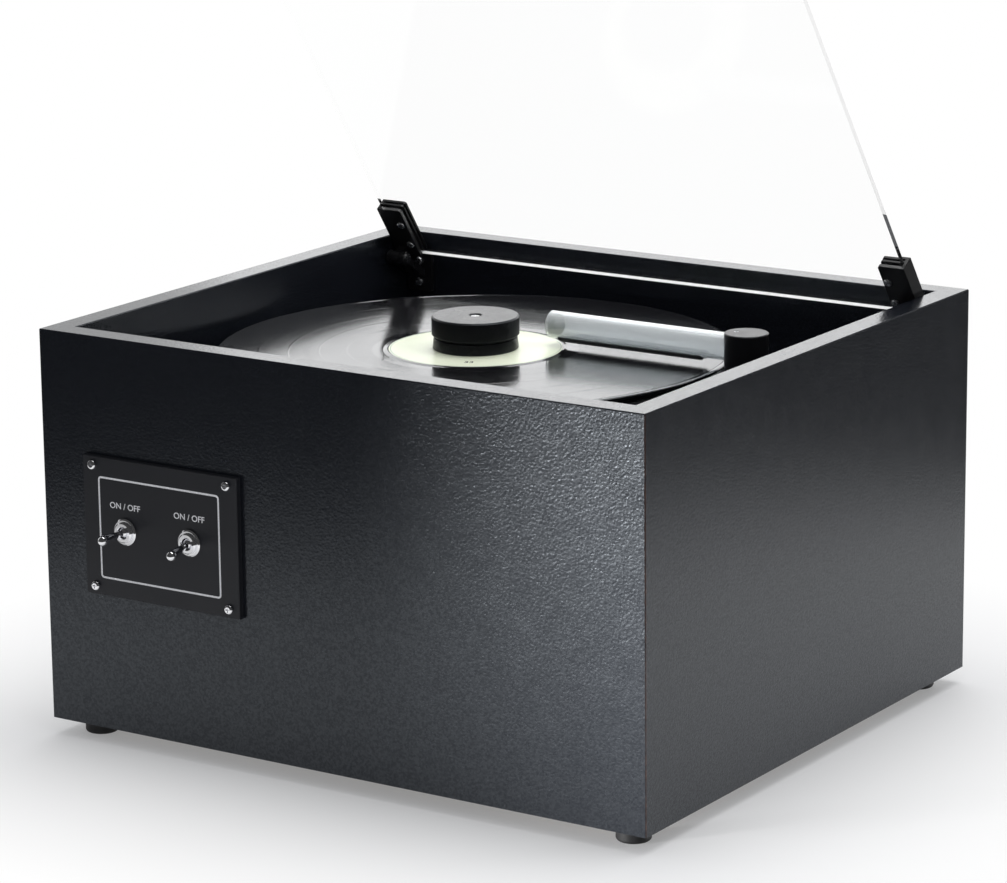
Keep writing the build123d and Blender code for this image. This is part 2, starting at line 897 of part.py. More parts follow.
with BuildPart() as suction_tube:
    with BuildSketch(facing_right(tube_free_end)):
        with Locations((arm_y, tube_z)):
            Circle(tube_r)
            Circle(tube_inner_r, mode=Mode.SUBTRACT)
    extrude(amount=tube_fixed_end - tube_free_end)
    with BuildSketch(level(tube_z - tube_r)):
        with Locations((tube_free_end + tube_slot_start + tube_slot_length / 2, arm_y)):
            RectangleRounded(tube_slot_length, tube_slot_width, tube_slot_width * 0.49)
    extrude(amount=tube_r * 0.6, mode=Mode.SUBTRACT)

with BuildPart() as tube_plug:
    with BuildSketch(facing_right(tube_free_end + 0.6)):
        with Locations((arm_y, tube_z)):
            Circle(tube_inner_r - running_gap)
    extrude(amount=plug_depth)
    chamfer(tube_plug.edges().filter_by(GeomType.CIRCLE), 0.5)

strip_edge = tube_slot_width / 2 + strip_width

with BuildPart() as velvet_strips:
    with BuildSketch(facing_right(tube_free_end + strip_start)):
        with Locations((arm_y, tube_z)):
            Circle(tube_r + strip_thickness)
            Circle(tube_r + running_gap, mode=Mode.SUBTRACT)
            Rectangle(tube_slot_width, 4 * tube_r, mode=Mode.SUBTRACT)
        with Locations((arm_y, tube_z)):
            Rectangle(
                4 * tube_r, 2 * tube_r, align=(Align.CENTER, Align.MIN), mode=Mode.SUBTRACT
            )
        with Locations((arm_y - strip_edge, tube_z)):
            Rectangle(
                2 * tube_r, 4 * tube_r, align=(Align.MAX, Align.CENTER), mode=Mode.SUBTRACT
            )
        with Locations((arm_y + strip_edge, tube_z)):
            Rectangle(
                2 * tube_r, 4 * tube_r, align=(Align.MIN, Align.CENTER), mode=Mode.SUBTRACT
            )
    extrude(amount=strip_length)

with BuildPart() as tube_set_screw:
    with BuildSketch(level(post_top - 0.15)):
        with Locations((set_screw_x, arm_y)):
            Circle(set_screw_diameter / 2)
    extrude(amount=-post_roof + 0.15 + running_gap)
    with BuildSketch(level(post_top - 0.15)):
        with Locations((set_screw_x, arm_y)):
            RegularPolygon(set_screw_diameter * 0.26, 6)
    extrude(amount=-post_roof * 0.5, mode=Mode.SUBTRACT)

nozzle_bottom = floor_top + tank_height + tank_wall - nozzle_in_tank
seal_z = (socket_bottom + well_floor) / 2
seal_groove_r = stem_r + running_gap + seal_section + 0.15

with BuildPart() as arm_socket:
    add(
        turned(
            [
                (nozzle_bore / 2, nozzle_bottom),
                (nozzle_diameter / 2, nozzle_bottom),
                (nozzle_diameter / 2, socket_bottom - 3),
                (socket_diameter / 2, socket_bottom),
                (socket_diameter / 2, deck_top),
                (socket_flange_diameter / 2, deck_top),
                (socket_flange_diameter / 2, socket_top - 0.6),
                (socket_flange_diameter / 2 - 0.6, socket_top),
                (stem_r + 2 * spring_wire, socket_top),
                (stem_r + 2 * spring_wire, well_floor),
                (stem_r + running_gap, well_floor),
                (stem_r + running_gap, seal_z + 1.2),
                (seal_groove_r, seal_z + 1.2),
                (seal_groove_r, seal_z - 1.2),
                (stem_r + running_gap, seal_z - 1.2),
                (stem_r + running_gap, socket_bottom),
                (nozzle_bore / 2, socket_bottom),
            ],
            arm_axis,
        )
    )
    add(pilot_holes(level(socket_top), socket_screw_places, flange_screw), mode=Mode.SUBTRACT)

with BuildPart() as stem_seal:
    ring_r = stem_r + 2 * running_gap + seal_section / 2
    with BuildSketch(facing_front(arm_y)):
        with Locations((arm_x + ring_r, seal_z)):
            Circle(seal_section / 2)
    revolve(axis=Axis((arm_x, arm_y, 0), (0, 0, 1)))


def arc_middle(start, end, heading):
    """The middle of the arc that leaves start along heading and ends at end."""
    chord = end - start
    along = chord.normalized()
    aside = (heading - along * heading.dot(along)).normalized()
    half_turn = radians(heading.get_angle(chord))
    return start + chord / 2 + aside * (chord.length / 2 * tan(half_turn / 2))


def coil_arcs(x, y, radius, bottom, rise, turns, steps):
    """A coil's line as pairs of tangent arcs, steps pairs to the turn."""
    climb = rise / turns / (2 * pi * radius)
    points = []
    for n in range(turns * steps + 1):
        angle = 2 * pi * n / steps
        place = Vector(x + radius * cos(angle), y + radius * sin(angle), bottom)
        place = place + Vector(0, 0, rise * n / turns / steps)
        points.append((place, Vector(-sin(angle), cos(angle), climb).normalized()))
    arcs = []
    for (start, leave), (end, arrive) in zip(points, points[1:]):
        span = end - start
        lean = span.dot(leave + arrive)
        spread = 2 * (1 - leave.dot(arrive))
        reach = (-lean + sqrt(lean**2 + spread * span.dot(span))) / spread
        first = start + leave * reach
        second = end - arrive * reach
        joint = (first + second) / 2
        arcs.append((start, arc_middle(start, joint, leave), joint))
        arcs.append((joint, arc_middle(joint, end, (second - first).normalized()), end))
    return arcs


spring_r = stem_r + spring_wire / 2 + 0.6
spring_bottom = well_floor + spring_wire / 2 + running_gap
spring_rise = post_bottom - spring_wire / 2 - running_gap - spring_bottom
spring_line = coil_arcs(arm_x, arm_y, spring_r, spring_bottom, spring_rise, spring_turns, 4)

with BuildPart() as arm_spring:
    with BuildLine() as coil:
        for start, middle, end in spring_line:
            ThreePointArc(start, middle, end)
    with BuildSketch(Plane(origin=coil.wire() @ 0, z_dir=coil.wire() % 0)):
        Circle(spring_wire / 2)
    sweep(path=coil.wire())

spring_pitch = spring_rise / spring_turns
print("arm spring: coil radius", spring_r, "wire", spring_wire)
print("arm spring: least gap between turns", round(spring_pitch - spring_wire, 2))

# ---- waste tank and the hose from it ----

hose_r = hose_diameter / 2
hose_inner_r = hose_r - hose_wall
spigot_r = hose_inner_r - running_gap
spigot_top = hose_height - hose_bend - 0.5
tank_top = floor_top + tank_height
cover_top = tank_top + tank_wall
shell_bottom = floor_top + can_height
shell_top = shell_bottom + fan_shell_height
outlet_y = tank_y + tank_depth / 2 - 27

with BuildPart() as waste_tank:
    with BuildSketch(level(floor_top)):
        with Locations((tank_x, tank_y)):
            RectangleRounded(tank_width, tank_depth, tank_corner)
    extrude(amount=tank_height)
    with BuildSketch(level(floor_top)):
        with Locations(*lug_places):
            Rectangle(tank_lug, tank_lug + 2)
    extrude(amount=tank_wall)
    with BuildSketch(level(floor_top + tank_wall)):
        with Locations((tank_x, tank_y)):
            RectangleRounded(
                tank_width - 2 * tank_wall, tank_depth - 2 * tank_wall, tank_corner - tank_wall
            )
    extrude(amount=tank_height, mode=Mode.SUBTRACT)
    with BuildSketch(facing_back(tank_y)):
        with Locations(*from_behind([(drain_x, drain_height)])):
            Circle(drain_pipe_diameter / 2 + running_gap)
    extrude(amount=tank_depth, mode=Mode.SUBTRACT)
    add(pilot_holes(level(floor_top + tank_wall), lug_places, flange_screw), mode=Mode.SUBTRACT)

with BuildPart() as tank_cover:
    with BuildSketch(level(tank_top)):
        with Locations((tank_x, tank_y)):
            RectangleRounded(
                tank_width + 2 * tank_cover_lip, tank_depth + 2 * tank_cover_lip, tank_corner
            )
    extrude(amount=tank_wall)
    with BuildSketch(level(cover_top)):
        with Locations((outlet_x, outlet_y)):
            Circle(spigot_r)
    extrude(amount=spigot_top - cover_top)
    with BuildSketch(level(tank_top)):
        with Locations((outlet_x, outlet_y)):
            Circle(spigot_r - spigot_wall)
        with Locations((arm_x, arm_y)):
            Circle(nozzle_diameter / 2 + board_play)
    extrude(amount=spigot_top - tank_top, mode=Mode.SUBTRACT)

with BuildPart() as vacuum_hose:
    with BuildLine() as hose_line:
        FilletPolyline(
            (outlet_x, outlet_y, cover_top + slide_gap),
            (outlet_x, outlet_y, hose_height),
            (vacuum_x, vacuum_y, hose_height),
            (vacuum_x, vacuum_y, shell_top + slide_gap),
            radius=hose_bend,
        )
    with BuildSketch(level(cover_top + slide_gap)):
        with Locations((outlet_x, outlet_y)):
            Circle(hose_r)
            Circle(hose_inner_r, mode=Mode.SUBTRACT)
    sweep(path=hose_line.wire())

# ---- vacuum motor ----

rotor_r = fan_shaft_diameter / 2
can_r = can_diameter / 2
shell_r = fan_shell_diameter / 2
stator_bottom = floor_top + 14
stator_top = stator_bottom + armature_height + 2
impeller_bottom = shell_bottom + sheet_metal + 4
impeller_top = impeller_bottom + impeller_height

with BuildPart() as vacuum_motor_can:
    add(
        turned(
            [
                (rotor_r + running_gap, floor_top),
                (can_r + 8, floor_top),
                (can_r + 8, floor_top + flange_thickness),
                (can_r, floor_top + flange_thickness),
                (can_r, shell_bottom),
                (can_r - sheet_metal, shell_bottom),
                (can_r - sheet_metal, stator_top),
                (stator_bore / 2, stator_top),
                (stator_bore / 2, stator_bottom),
                (can_r - sheet_metal, stator_bottom),
                (can_r - sheet_metal, floor_top + sheet_metal),
                (rotor_r + 6, floor_top + sheet_metal),
                (rotor_r + 6, floor_top + 9),
                (rotor_r + running_gap, floor_top + 9),
            ],
            vacuum_axis,
        )
    )
    with BuildSketch(level(floor_top + 5)):
        with Locations((vacuum_x, vacuum_y)):
            with PolarLocations(can_r, 8):
                Rectangle(20, 14)
    extrude(amount=7, mode=Mode.SUBTRACT)
    with BuildSketch(level(stator_bottom)):
        with Locations((vacuum_x, vacuum_y)):
            with PolarLocations(can_r - sheet_metal - 7, 12, start_angle=15):
                Circle(4.5)
    extrude(amount=stator_top - stator_bottom, mode=Mode.SUBTRACT)
    add(
        pilot_holes(level(floor_top + flange_thickness), can_screw_places, flange_screw),
        mode=Mode.SUBTRACT,
    )

with BuildPart() as vacuum_fan_shell:
    add(
        turned(
            [
                (rotor_r + running_gap, shell_bottom),
                (shell_r, shell_bottom),
                (shell_r, shell_top),
                (spigot_r, shell_top),
                (spigot_r, spigot_top),
                (spigot_r - spigot_wall, spigot_top),
                (spigot_r - spigot_wall, shell_top - sheet_metal),
                (shell_r - sheet_metal, shell_top - sheet_metal),
                (shell_r - sheet_metal, shell_bottom + sheet_metal),
                (rotor_r + running_gap, shell_bottom + sheet_metal),
            ],
            vacuum_axis,
        )
    )
    with BuildSketch(level(shell_bottom)):
        with Locations((vacuum_x, vacuum_y)):
            with PolarLocations(stator_bore / 2 + 9, 12):
                Circle(5)
    extrude(amount=sheet_metal, mode=Mode.SUBTRACT)

with BuildPart() as fan_rotor:
    with BuildSketch(level(floor_top + 1)):
        with Locations((vacuum_x, vacuum_y)):
            Circle(rotor_r)
    extrude(amount=impeller_top - floor_top - 1)
    with BuildSketch(level(stator_bottom + 1)):
        with Locations((vacuum_x, vacuum_y)):
            Circle(armature_diameter / 2)
    extrude(amount=armature_height)
    with BuildSketch(level(impeller_bottom)):
        with Locations((vacuum_x, vacuum_y)):
            Circle(impeller_diameter / 2)
    extrude(amount=sheet_metal)
    with BuildSketch(level(impeller_bottom + sheet_metal)):
        with Locations((vacuum_x, vacuum_y)):
            with PolarLocations(impeller_diameter / 4 + 4, impeller_blades):
                Rectangle(impeller_diameter / 2 - 10, sheet_metal)
    extrude(amount=impeller_height - 2 * sheet_metal)
    with BuildSketch(level(impeller_top - sheet_metal)):
        with Locations((vacuum_x, vacuum_y)):
            Circle(impeller_diameter / 2)
            Circle(impeller_eye / 2, mode=Mode.SUBTRACT)
    extrude(amount=sheet_metal)

# ---- back of the cabinet ----

handle_y = back_face + 10
valve_top = drain_height + drain_body_diameter / 2 + 1.5
barb_r = drain_pipe_diameter / 2
drain_axis = Plane(origin=(drain_x, back_face, drain_height), x_dir=(1, 0, 0), z_dir=(0, 1, 0))
pipe_start = tank_y + tank_depth / 2 - tank_wall - 2 - back_face

with BuildPart() as drain_valve:
    add(
        turned(
            [
                (0, pipe_start),
                (barb_r, pipe_start),
                (barb_r, 0),
                (drain_body_diameter / 2 + 2, 0),
                (drain_body_diameter / 2 + 2, 2),
                (drain_body_diameter / 2, 3),
                (drain_body_diameter / 2, 17),
                (barb_r - 1.5, 18),
                (barb_r - 1.5, back_stand_out - 4),
                (barb_r - 0.3, back_stand_out - 4),
                (barb_r - 1.8, back_stand_out),
                (0, back_stand_out),
            ],
            drain_axis,
        )
    )
    with BuildSketch(level(drain_height)):
        with Locations((drain_x, handle_y)):
            Circle(4)
    extrude(amount=valve_top - drain_height)
    with BuildSketch(drain_axis.offset(pipe_start)):
        Circle(drain_bore / 2)
    extrude(amount=back_stand_out - pipe_start, mode=Mode.SUBTRACT)

with BuildPart() as drain_handle:
    with BuildSketch(level(valve_top + slide_gap)):
        with Locations((drain_x, handle_y)):
            Circle(5)
            Rectangle(drain_handle_length, 6, align=(Align.MIN, Align.CENTER))
        with Locations((drain_x + drain_handle_length, handle_y)):
            Circle(3)
    extrude(amount=3)
    fillet(drain_handle.edges().group_by(Axis.Z)[-1], 0.8)

with BuildPart() as exhaust_grille:
    with BuildSketch(facing_back(back_face)):
        with Locations(*from_behind([(vacuum_x, grille_z)])):
            RectangleRounded(grille_side, grille_side, 4)
            with GridLocations(1, grille_opening / grille_slots, 1, grille_slots):
                SlotOverall(grille_opening - 6, grille_slot_width, mode=Mode.SUBTRACT)
    extrude(amount=grille_thickness)
    chamfer(exhaust_grille.faces().sort_by(Axis.Y)[-1].outer_wire().edges(), 0.5)
    add(
        pilot_holes(
            facing_back(back_face + grille_thickness), from_behind(grille_screw_places), flange_screw
        ),
        mode=Mode.SUBTRACT,
    )

inlet_face = back_face + inlet_flange_thickness
recess_z = inlet_height + 9.5
fuse_z = inlet_height - 11.5
blade_places = [(inlet_x - 7, recess_z - 2), (inlet_x + 7, recess_z - 2), (inlet_x, recess_z + 2)]

with BuildPart() as power_inlet:
    with BuildSketch(facing_back(back_face)):
        with Locations(*from_behind([(inlet_x, inlet_height)])):
            RectangleRounded(inlet_flange_width, inlet_flange_height, 6)
    extrude(amount=inlet_flange_thickness)
    chamfer(power_inlet.faces().sort_by(Axis.Y)[-1].edges(), 0.6)
    with BuildSketch(facing_back(back_face)):
        with Locations(*from_behind([(inlet_x, inlet_height)])):
            Rectangle(inlet_body_width, inlet_body_height)
    extrude(amount=-inlet_body_depth)
    with BuildSketch(facing_back(inlet_face)):
        with Locations(*from_behind([(inlet_x, recess_z)])):
            RectangleRounded(socket_recess_width, socket_recess_height, 3)
    extrude(amount=-socket_recess_depth, mode=Mode.SUBTRACT)
    with BuildSketch(facing_back(inlet_face - socket_recess_depth)):
        with Locations(*from_behind(blade_places)):
            Rectangle(2, 4)
    extrude(amount=inlet_blade_length)
    with BuildSketch(facing_back(inlet_face)):
        with Locations(*from_behind([(inlet_x, fuse_z)])):
            Rectangle(fuse_width + 2 * slide_gap, fuse_height + 2 * slide_gap)
    extrude(amount=-fuse_depth - slide_gap, mode=Mode.SUBTRACT)
    add(
        pilot_holes(facing_back(inlet_face), from_behind(inlet_screw_places), flange_screw),
        mode=Mode.SUBTRACT,
    )

with BuildPart() as fuse_drawer:
    with BuildSketch(facing_back(inlet_face + slide_gap)):
        with Locations(*from_behind([(inlet_x, fuse_z)])):
            Rectangle(fuse_width, fuse_height)
    extrude(amount=-fuse_depth + slide_gap)
    with BuildSketch(facing_back(inlet_face + slide_gap)):
        with Locations(*from_behind([(inlet_x, fuse_z)])):
            Rectangle(fuse_width + 3, fuse_height + 3)
    extrude(amount=2)
    with BuildSketch(level(fuse_z + fuse_height / 2)):
        with Locations((inlet_x, inlet_face - fuse_depth / 2)):
            Rectangle(fuse_width + 1, fuse_length + 0.4)
    extrude(amount=-fuse_height / 2 - fuse_tube_diameter / 2, mode=Mode.SUBTRACT)

with BuildPart() as fuse:
    with BuildSketch(facing_back(inlet_face - fuse_depth / 2 - fuse_length / 2 + 0.1)):
        with Locations(*from_behind([(inlet_x, fuse_z)])):
            Circle(fuse_tube_diameter / 2)
    extrude(amount=fuse_length - 0.2)

# ---- switch panel ----

with BuildPart() as switch_panel:
    with BuildSketch(facing_front(front_face)):
        with Locations((panel_x, switch_z)):
            Rectangle(panel_width, panel_height)
    extrude(amount=panel_thickness)
    chamfer(switch_panel.faces().sort_by(Axis.Y)[0].edges(), 0.4)
    with BuildSketch(facing_front(front_face)):
        with Locations(*toggle_places):
            Circle(bushing_diameter / 2 + running_gap)
    extrude(amount=panel_thickness, mode=Mode.SUBTRACT)
    add(pilot_holes(facing_front(panel_front), panel_screw_places, panel_screw), mode=Mode.SUBTRACT)

panel_screws = pan_screws(facing_front(panel_front), panel_screw_places, panel_screw)

switch_back = front_face + switch_depth

with BuildPart() as switch_bodies:
    with BuildSketch(facing_front(front_face)):
        with Locations(*toggle_places):
            Rectangle(switch_width, switch_height)
    extrude(amount=-switch_depth)
    with BuildSketch(facing_front(front_face)):
        with Locations(*toggle_places):
            Circle(bushing_bore / 2 + 1)
    extrude(amount=-switch_frame_thickness, mode=Mode.SUBTRACT)
    with BuildSketch(facing_front(front_face + switch_frame_thickness)):
        with Locations(*toggle_places):
            Rectangle(8, 15)
    extrude(amount=-9, mode=Mode.SUBTRACT)
    with BuildSketch(facing_front(switch_back)):
        with Locations(*toggle_places):
            with GridLocations(9, 10, 2, 3):
                Rectangle(0.8, 4.8)
    extrude(amount=-8)

bushing_r = bushing_diameter / 2
bushing_end = panel_thickness + bushing_stand
lever_pivot_y = panel_front - pivot_outside_panel

# each bushing carries the cross pin that its lever rocks on
with BuildPart() as switch_bushings:
    for (x, z), turn in zip(toggle_places, toggle_turns):
        add(
            turned(
                [
                    (bushing_bore / 2, 0),
                    (bushing_r, 0),
                    (bushing_r, bushing_end - 0.7),
                    (bushing_r - 0.7, bushing_end),
                    (bushing_bore / 2 + 0.5, bushing_end),
                    (bushing_bore / 2, bushing_end - 0.5),
                ],
                Plane(origin=(x, front_face, z), x_dir=(1, 0, 0), z_dir=(0, -1, 0)),
            )
        )
        with Locations((x, lever_pivot_y, z)):
            Cylinder(
                lever_pin_diameter / 2,
                (bushing_bore + bushing_diameter) / 2,
                rotation=(0, 90 + turn, 0),
            )

with BuildPart() as dress_nuts:
    for x, z in toggle_places:
        add(
            turned(
                [
                    (bushing_r + running_gap, 0),
                    (nut_diameter / 2, 0),
                    (nut_diameter / 2, nut_thickness * 0.55),
                    (nut_diameter / 2 - 0.9, nut_thickness),
                    (bushing_r + running_gap, nut_thickness),
                ],
                Plane(origin=(x, panel_front, z), x_dir=(1, 0, 0), z_dir=(0, -1, 0)),
            )
        )


def toggle_lever(place, turn_degrees):
    """A toggle switch's lever at its lower position, its throw turned about the bushing.

    The lever's ball is bored for the cross pin.
    """
    x, z = place
    lean = radians(toggle_tilt)
    turn = radians(turn_degrees)
    tail_r = 1.5
    neck_r = lever_neck_diameter / 2
    tip_r = lever_tip_diameter / 2
    shoulder = lever_length - tip_r
    with BuildPart() as lever:
        with BuildSketch(Plane.XZ):
            with BuildLine():
                Polyline(
                    (0, lever_length),
                    (0, -lever_tail),
                    (tail_r, -lever_tail),
                    (tail_r, 0),
                    (neck_r, 0),
                    (neck_r, 3.5),
                    (tip_r, shoulder - 1),
                    (tip_r, shoulder),
                )
                ThreePointArc(
                    (tip_r, shoulder),
                    (tip_r * cos(pi / 4), shoulder + tip_r * sin(pi / 4)),
                    (0, lever_length),
                )
            make_face()
        revolve(axis=Axis.Z)
        Sphere(bushing_bore / 2 - 2 * running_gap)
        Cylinder(
            lever_pin_diameter / 2 + running_gap,
            bushing_bore,
            rotation=(0, 90, 0),
            mode=Mode.SUBTRACT,
        )
    seat = Plane(
        origin=(x, lever_pivot_y, z),
        x_dir=(cos(turn), 0, -sin(turn)),
        z_dir=(-sin(lean) * sin(turn), -cos(lean), -sin(lean) * cos(turn)),
    )
    return lever.part.moved(seat.location)


left_toggle_lever = toggle_lever(toggle_places[0], toggle_turns[0])
right_toggle_lever = toggle_lever(toggle_places[1], toggle_turns[1])

# ---- lid: its own frame lies on the hinge line, Y to the hinged edge and Z outwards ----

lid_turn = radians(lid_open_degrees)
lid_frame = Plane(
    origin=(0, pivot_y, pivot_z), x_dir=(1, 0, 0), z_dir=(0, sin(lid_turn), cos(lid_turn))
)
lid_half_width = inner_x - lid_side_gap
lid_reach = pivot_y + inner_y - lid_front_gap
lid_under = pivot_below_lid - lid_thickness / 2
clip_back = lid_behind_pivot + clip_behind_lid
slot_floor = lid_under - running_gap
slot_height = lid_thickness + 2 * running_gap
clip_face = slot_floor - clip_front_plate
spare_floor = slot_floor + slot_height + clip_web
clip_thickness = spare_floor + clip_spare_slot + clip_back_plate - clip_face
slot_side = hinge_outer - clip_closed_side
knuckle_width = hinge_outer - ear_inner - 2 * ear_width - 2 * slide_gap
knuckle_middle = (ear_inner + hinge_outer) / 2
at_top_middle = (Align.CENTER, Align.MAX, Align.MIN)

with BuildPart(lid_frame) as lid_sheet:
    with Locations((0, lid_behind_pivot, lid_under)):
        Box(
            2 * lid_half_width,
            lid_reach + lid_behind_pivot,
            lid_thickness,
            align=at_top_middle,
        )

with BuildPart(lid_frame) as lid_clips:
    with Locations((hinge_middle, clip_back, clip_face)):
        Box(hinge_width, clip_length, clip_thickness, align=at_top_middle)
    free_corner = lid_frame.from_local_coords(Vector(hinge_inner, clip_back - clip_length, clip_face))
    uprights = lid_clips.edges().filter_by(Axis(lid_frame.origin, lid_frame.z_dir))
    fillet(uprights.sort_by_distance(free_corner)[0], clip_corner)
    chamfer(lid_clips.edges(), 0.3)
    with Locations((slot_side, clip_back + 1, slot_floor)):
        Box(
            hinge_width,
            clip_length + 2,
            slot_height,
            align=(Align.MAX, Align.MAX, Align.MIN),
            mode=Mode.SUBTRACT,
        )
    with Locations((slot_side, clip_back + 1, spare_floor)):
        Box(
            hinge_width,
            clip_length + 2,
            clip_spare_slot,
            align=(Align.MAX, Align.MAX, Align.MIN),
            mode=Mode.SUBTRACT,
        )
    with Locations((knuckle_middle, 0, 0)):
        Cylinder(knuckle_radius, knuckle_width, rotation=(0, 90, 0))
    with Locations((knuckle_middle, -knuckle_front, 0)):
        Box(
            knuckle_width,
            knuckle_front + knuckle_radius,
            clip_face + 0.5,
            align=(Align.CENTER, Align.MIN, Align.MIN),
        )
    with Locations((hinge_middle, 0, 0)):
        Cylinder(
            hinge_pin_diameter / 2 + running_gap,
            hinge_width,
            rotation=(0, 90, 0),
            mode=Mode.SUBTRACT,
        )
    mirror(about=Plane.YZ)

clip_screw_plane = Plane(
    origin=lid_frame.from_local_coords(Vector(0, 0, clip_face)),
    x_dir=(1, 0, 0),
    z_dir=-lid_frame.z_dir,
)
clip_screw_at = [
    (x * (hinge_inner + clip_screw_inset), place) for x in (-1, 1) for place in clip_screw_places
]
clip_screws = pan_screws(clip_screw_plane, clip_screw_at, clip_screw)

with BuildPart() as drilled_clips:
    add(lid_clips.part)
    add(pilot_holes(clip_screw_plane, clip_screw_at, clip_screw), mode=Mode.SUBTRACT)

bar_run = hinge_plate_face + 1 - pivot_y
bar_length = sqrt(bar_run**2 + ear_foot_drop**2)
bar_y = ear_bar_height / 2 * ear_foot_drop / bar_length
bar_z = ear_bar_height / 2 * bar_run / bar_length
plate_top = pivot_z - hinge_screw_drops[0] + hinge_plate_above_screw
plate_bottom = pivot_z - hinge_screw_drops[1] - hinge_plate_below_screw

with BuildPart() as hinge_bases:
    with BuildSketch(facing_front(hinge_plate_face)):
        with Locations((hinge_middle, (plate_top + plate_bottom) / 2)):
            RectangleRounded(hinge_width, plate_top - plate_bottom, 1.5)
    extrude(amount=-hinge_plate_thickness)
    for x in (ear_inner, hinge_outer - ear_width):
        with BuildSketch(facing_right(x)):
            with Locations((pivot_y, pivot_z)):
                Circle(ear_radius)
            Polygon(
                (pivot_y + bar_y, pivot_z + bar_z),
                (pivot_y + bar_run + bar_y, pivot_z - ear_foot_drop + bar_z),
                (pivot_y + bar_run - bar_y, pivot_z - ear_foot_drop - bar_z),
                (pivot_y - bar_y, pivot_z - bar_z),
                align=None,
            )
            with Locations((pivot_y, pivot_z)):
                Circle(hinge_pin_diameter / 2 + running_gap, mode=Mode.SUBTRACT)
        extrude(amount=ear_width)
    mirror(about=Plane.YZ)
    add(pilot_holes(facing_front(hinge_plate_face), hinge_screw_at, hinge_screw), mode=Mode.SUBTRACT)

hinge_screws = pan_screws(facing_front(hinge_plate_face), hinge_screw_at, hinge_screw)

with BuildPart() as hinge_pins:
    with BuildSketch(facing_right(ear_inner)):
        with Locations((pivot_y, pivot_z)):
            Circle(hinge_pin_diameter / 2)
    extrude(amount=hinge_outer - ear_inner)
    with BuildSketch(facing_right(ear_inner)):
        with Locations((pivot_y, pivot_z)):
            Circle(hinge_pin_diameter / 2 + 1)
    extrude(amount=-1)
    mirror(about=Plane.YZ)

# ---- the small screws that hold flanges, all of one size ----

with BuildPart() as flange_screws:
    add(pan_screws(facing_down(deck_bottom - flange_thickness), bearing_screw_places, flange_screw))
    add(pan_screws(level(socket_top), socket_screw_places, flange_screw))
    add(pan_screws(level(floor_top + tank_wall), lug_places, flange_screw))
    add(pan_screws(level(floor_top + flange_thickness), can_screw_places, flange_screw))
    add(
        pan_screws(
            facing_back(back_face + grille_thickness), from_behind(grille_screw_places), flange_screw
        )
    )
    add(pan_screws(facing_back(inlet_face), from_behind(inlet_screw_places), flange_screw))

# ---- wiring ----

left_x, right_x = toggle_places[0][0], toggle_places[1][0]
between_x = (left_x + right_x) / 2
upper_z, lower_z = toggle_z + 10, toggle_z - 10
lead_y = switch_back + 33
cable_floor = floor_top + cable_diameter / 2 + 1
motor_face = spindle_y - drive_motor_diameter / 2
can_face = vacuum_y - can_diameter / 2
lead_z = bracket_bottom - 30
can_lead_z = floor_top + 28
supply_lead = [
    (inlet_x, back_face - inlet_body_depth, inlet_height),
    (inlet_x, back_face - inlet_body_depth - 20, inlet_height),
    (inlet_x, back_face - inlet_body_depth - 20, cable_floor),
    (inlet_x, lead_y + 20, cable_floor),
    (left_x, lead_y + 20, cable_floor),
    (left_x, lead_y + 20, upper_z),
    (left_x, switch_back, upper_z),
]
switch_link = [
    (left_x, switch_back, toggle_z),
    (left_x, lead_y - 10, toggle_z),
    (right_x, lead_y - 10, toggle_z),
    (right_x, switch_back, toggle_z),
]
motor_lead = [
    (left_x, switch_back, lower_z),
    (left_x, lead_y, lower_z),
    (between_x, lead_y, lower_z),
    (between_x, lead_y, lead_z),
    (motor_x, lead_y, lead_z),
    (motor_x, motor_face, lead_z),
]
vacuum_lead = [
    (right_x, switch_back, lower_z),
    (right_x, lead_y + 12, lower_z),
    (right_x, lead_y + 12, can_lead_z),
    (vacuum_x, lead_y + 12, can_lead_z),
    (vacuum_x, can_face, can_lead_z),
]


def cable(points, bend):
    """A round cable along straight runs joined by bends."""
    with BuildPart() as lead:
        with BuildLine() as run:
            FilletPolyline(*points, radius=bend)
        with BuildSketch(Plane(origin=run.wire() @ 0, z_dir=run.wire() % 0)):
            Circle(cable_diameter / 2)
        sweep(path=run.wire())
    return lead.part


with BuildPart() as wiring:
    add(cable(supply_lead, 9))
    add(cable(switch_link, 9))
    add(cable(motor_lead, 9))
    add(cable(vacuum_lead, 7))

# ---- export ----

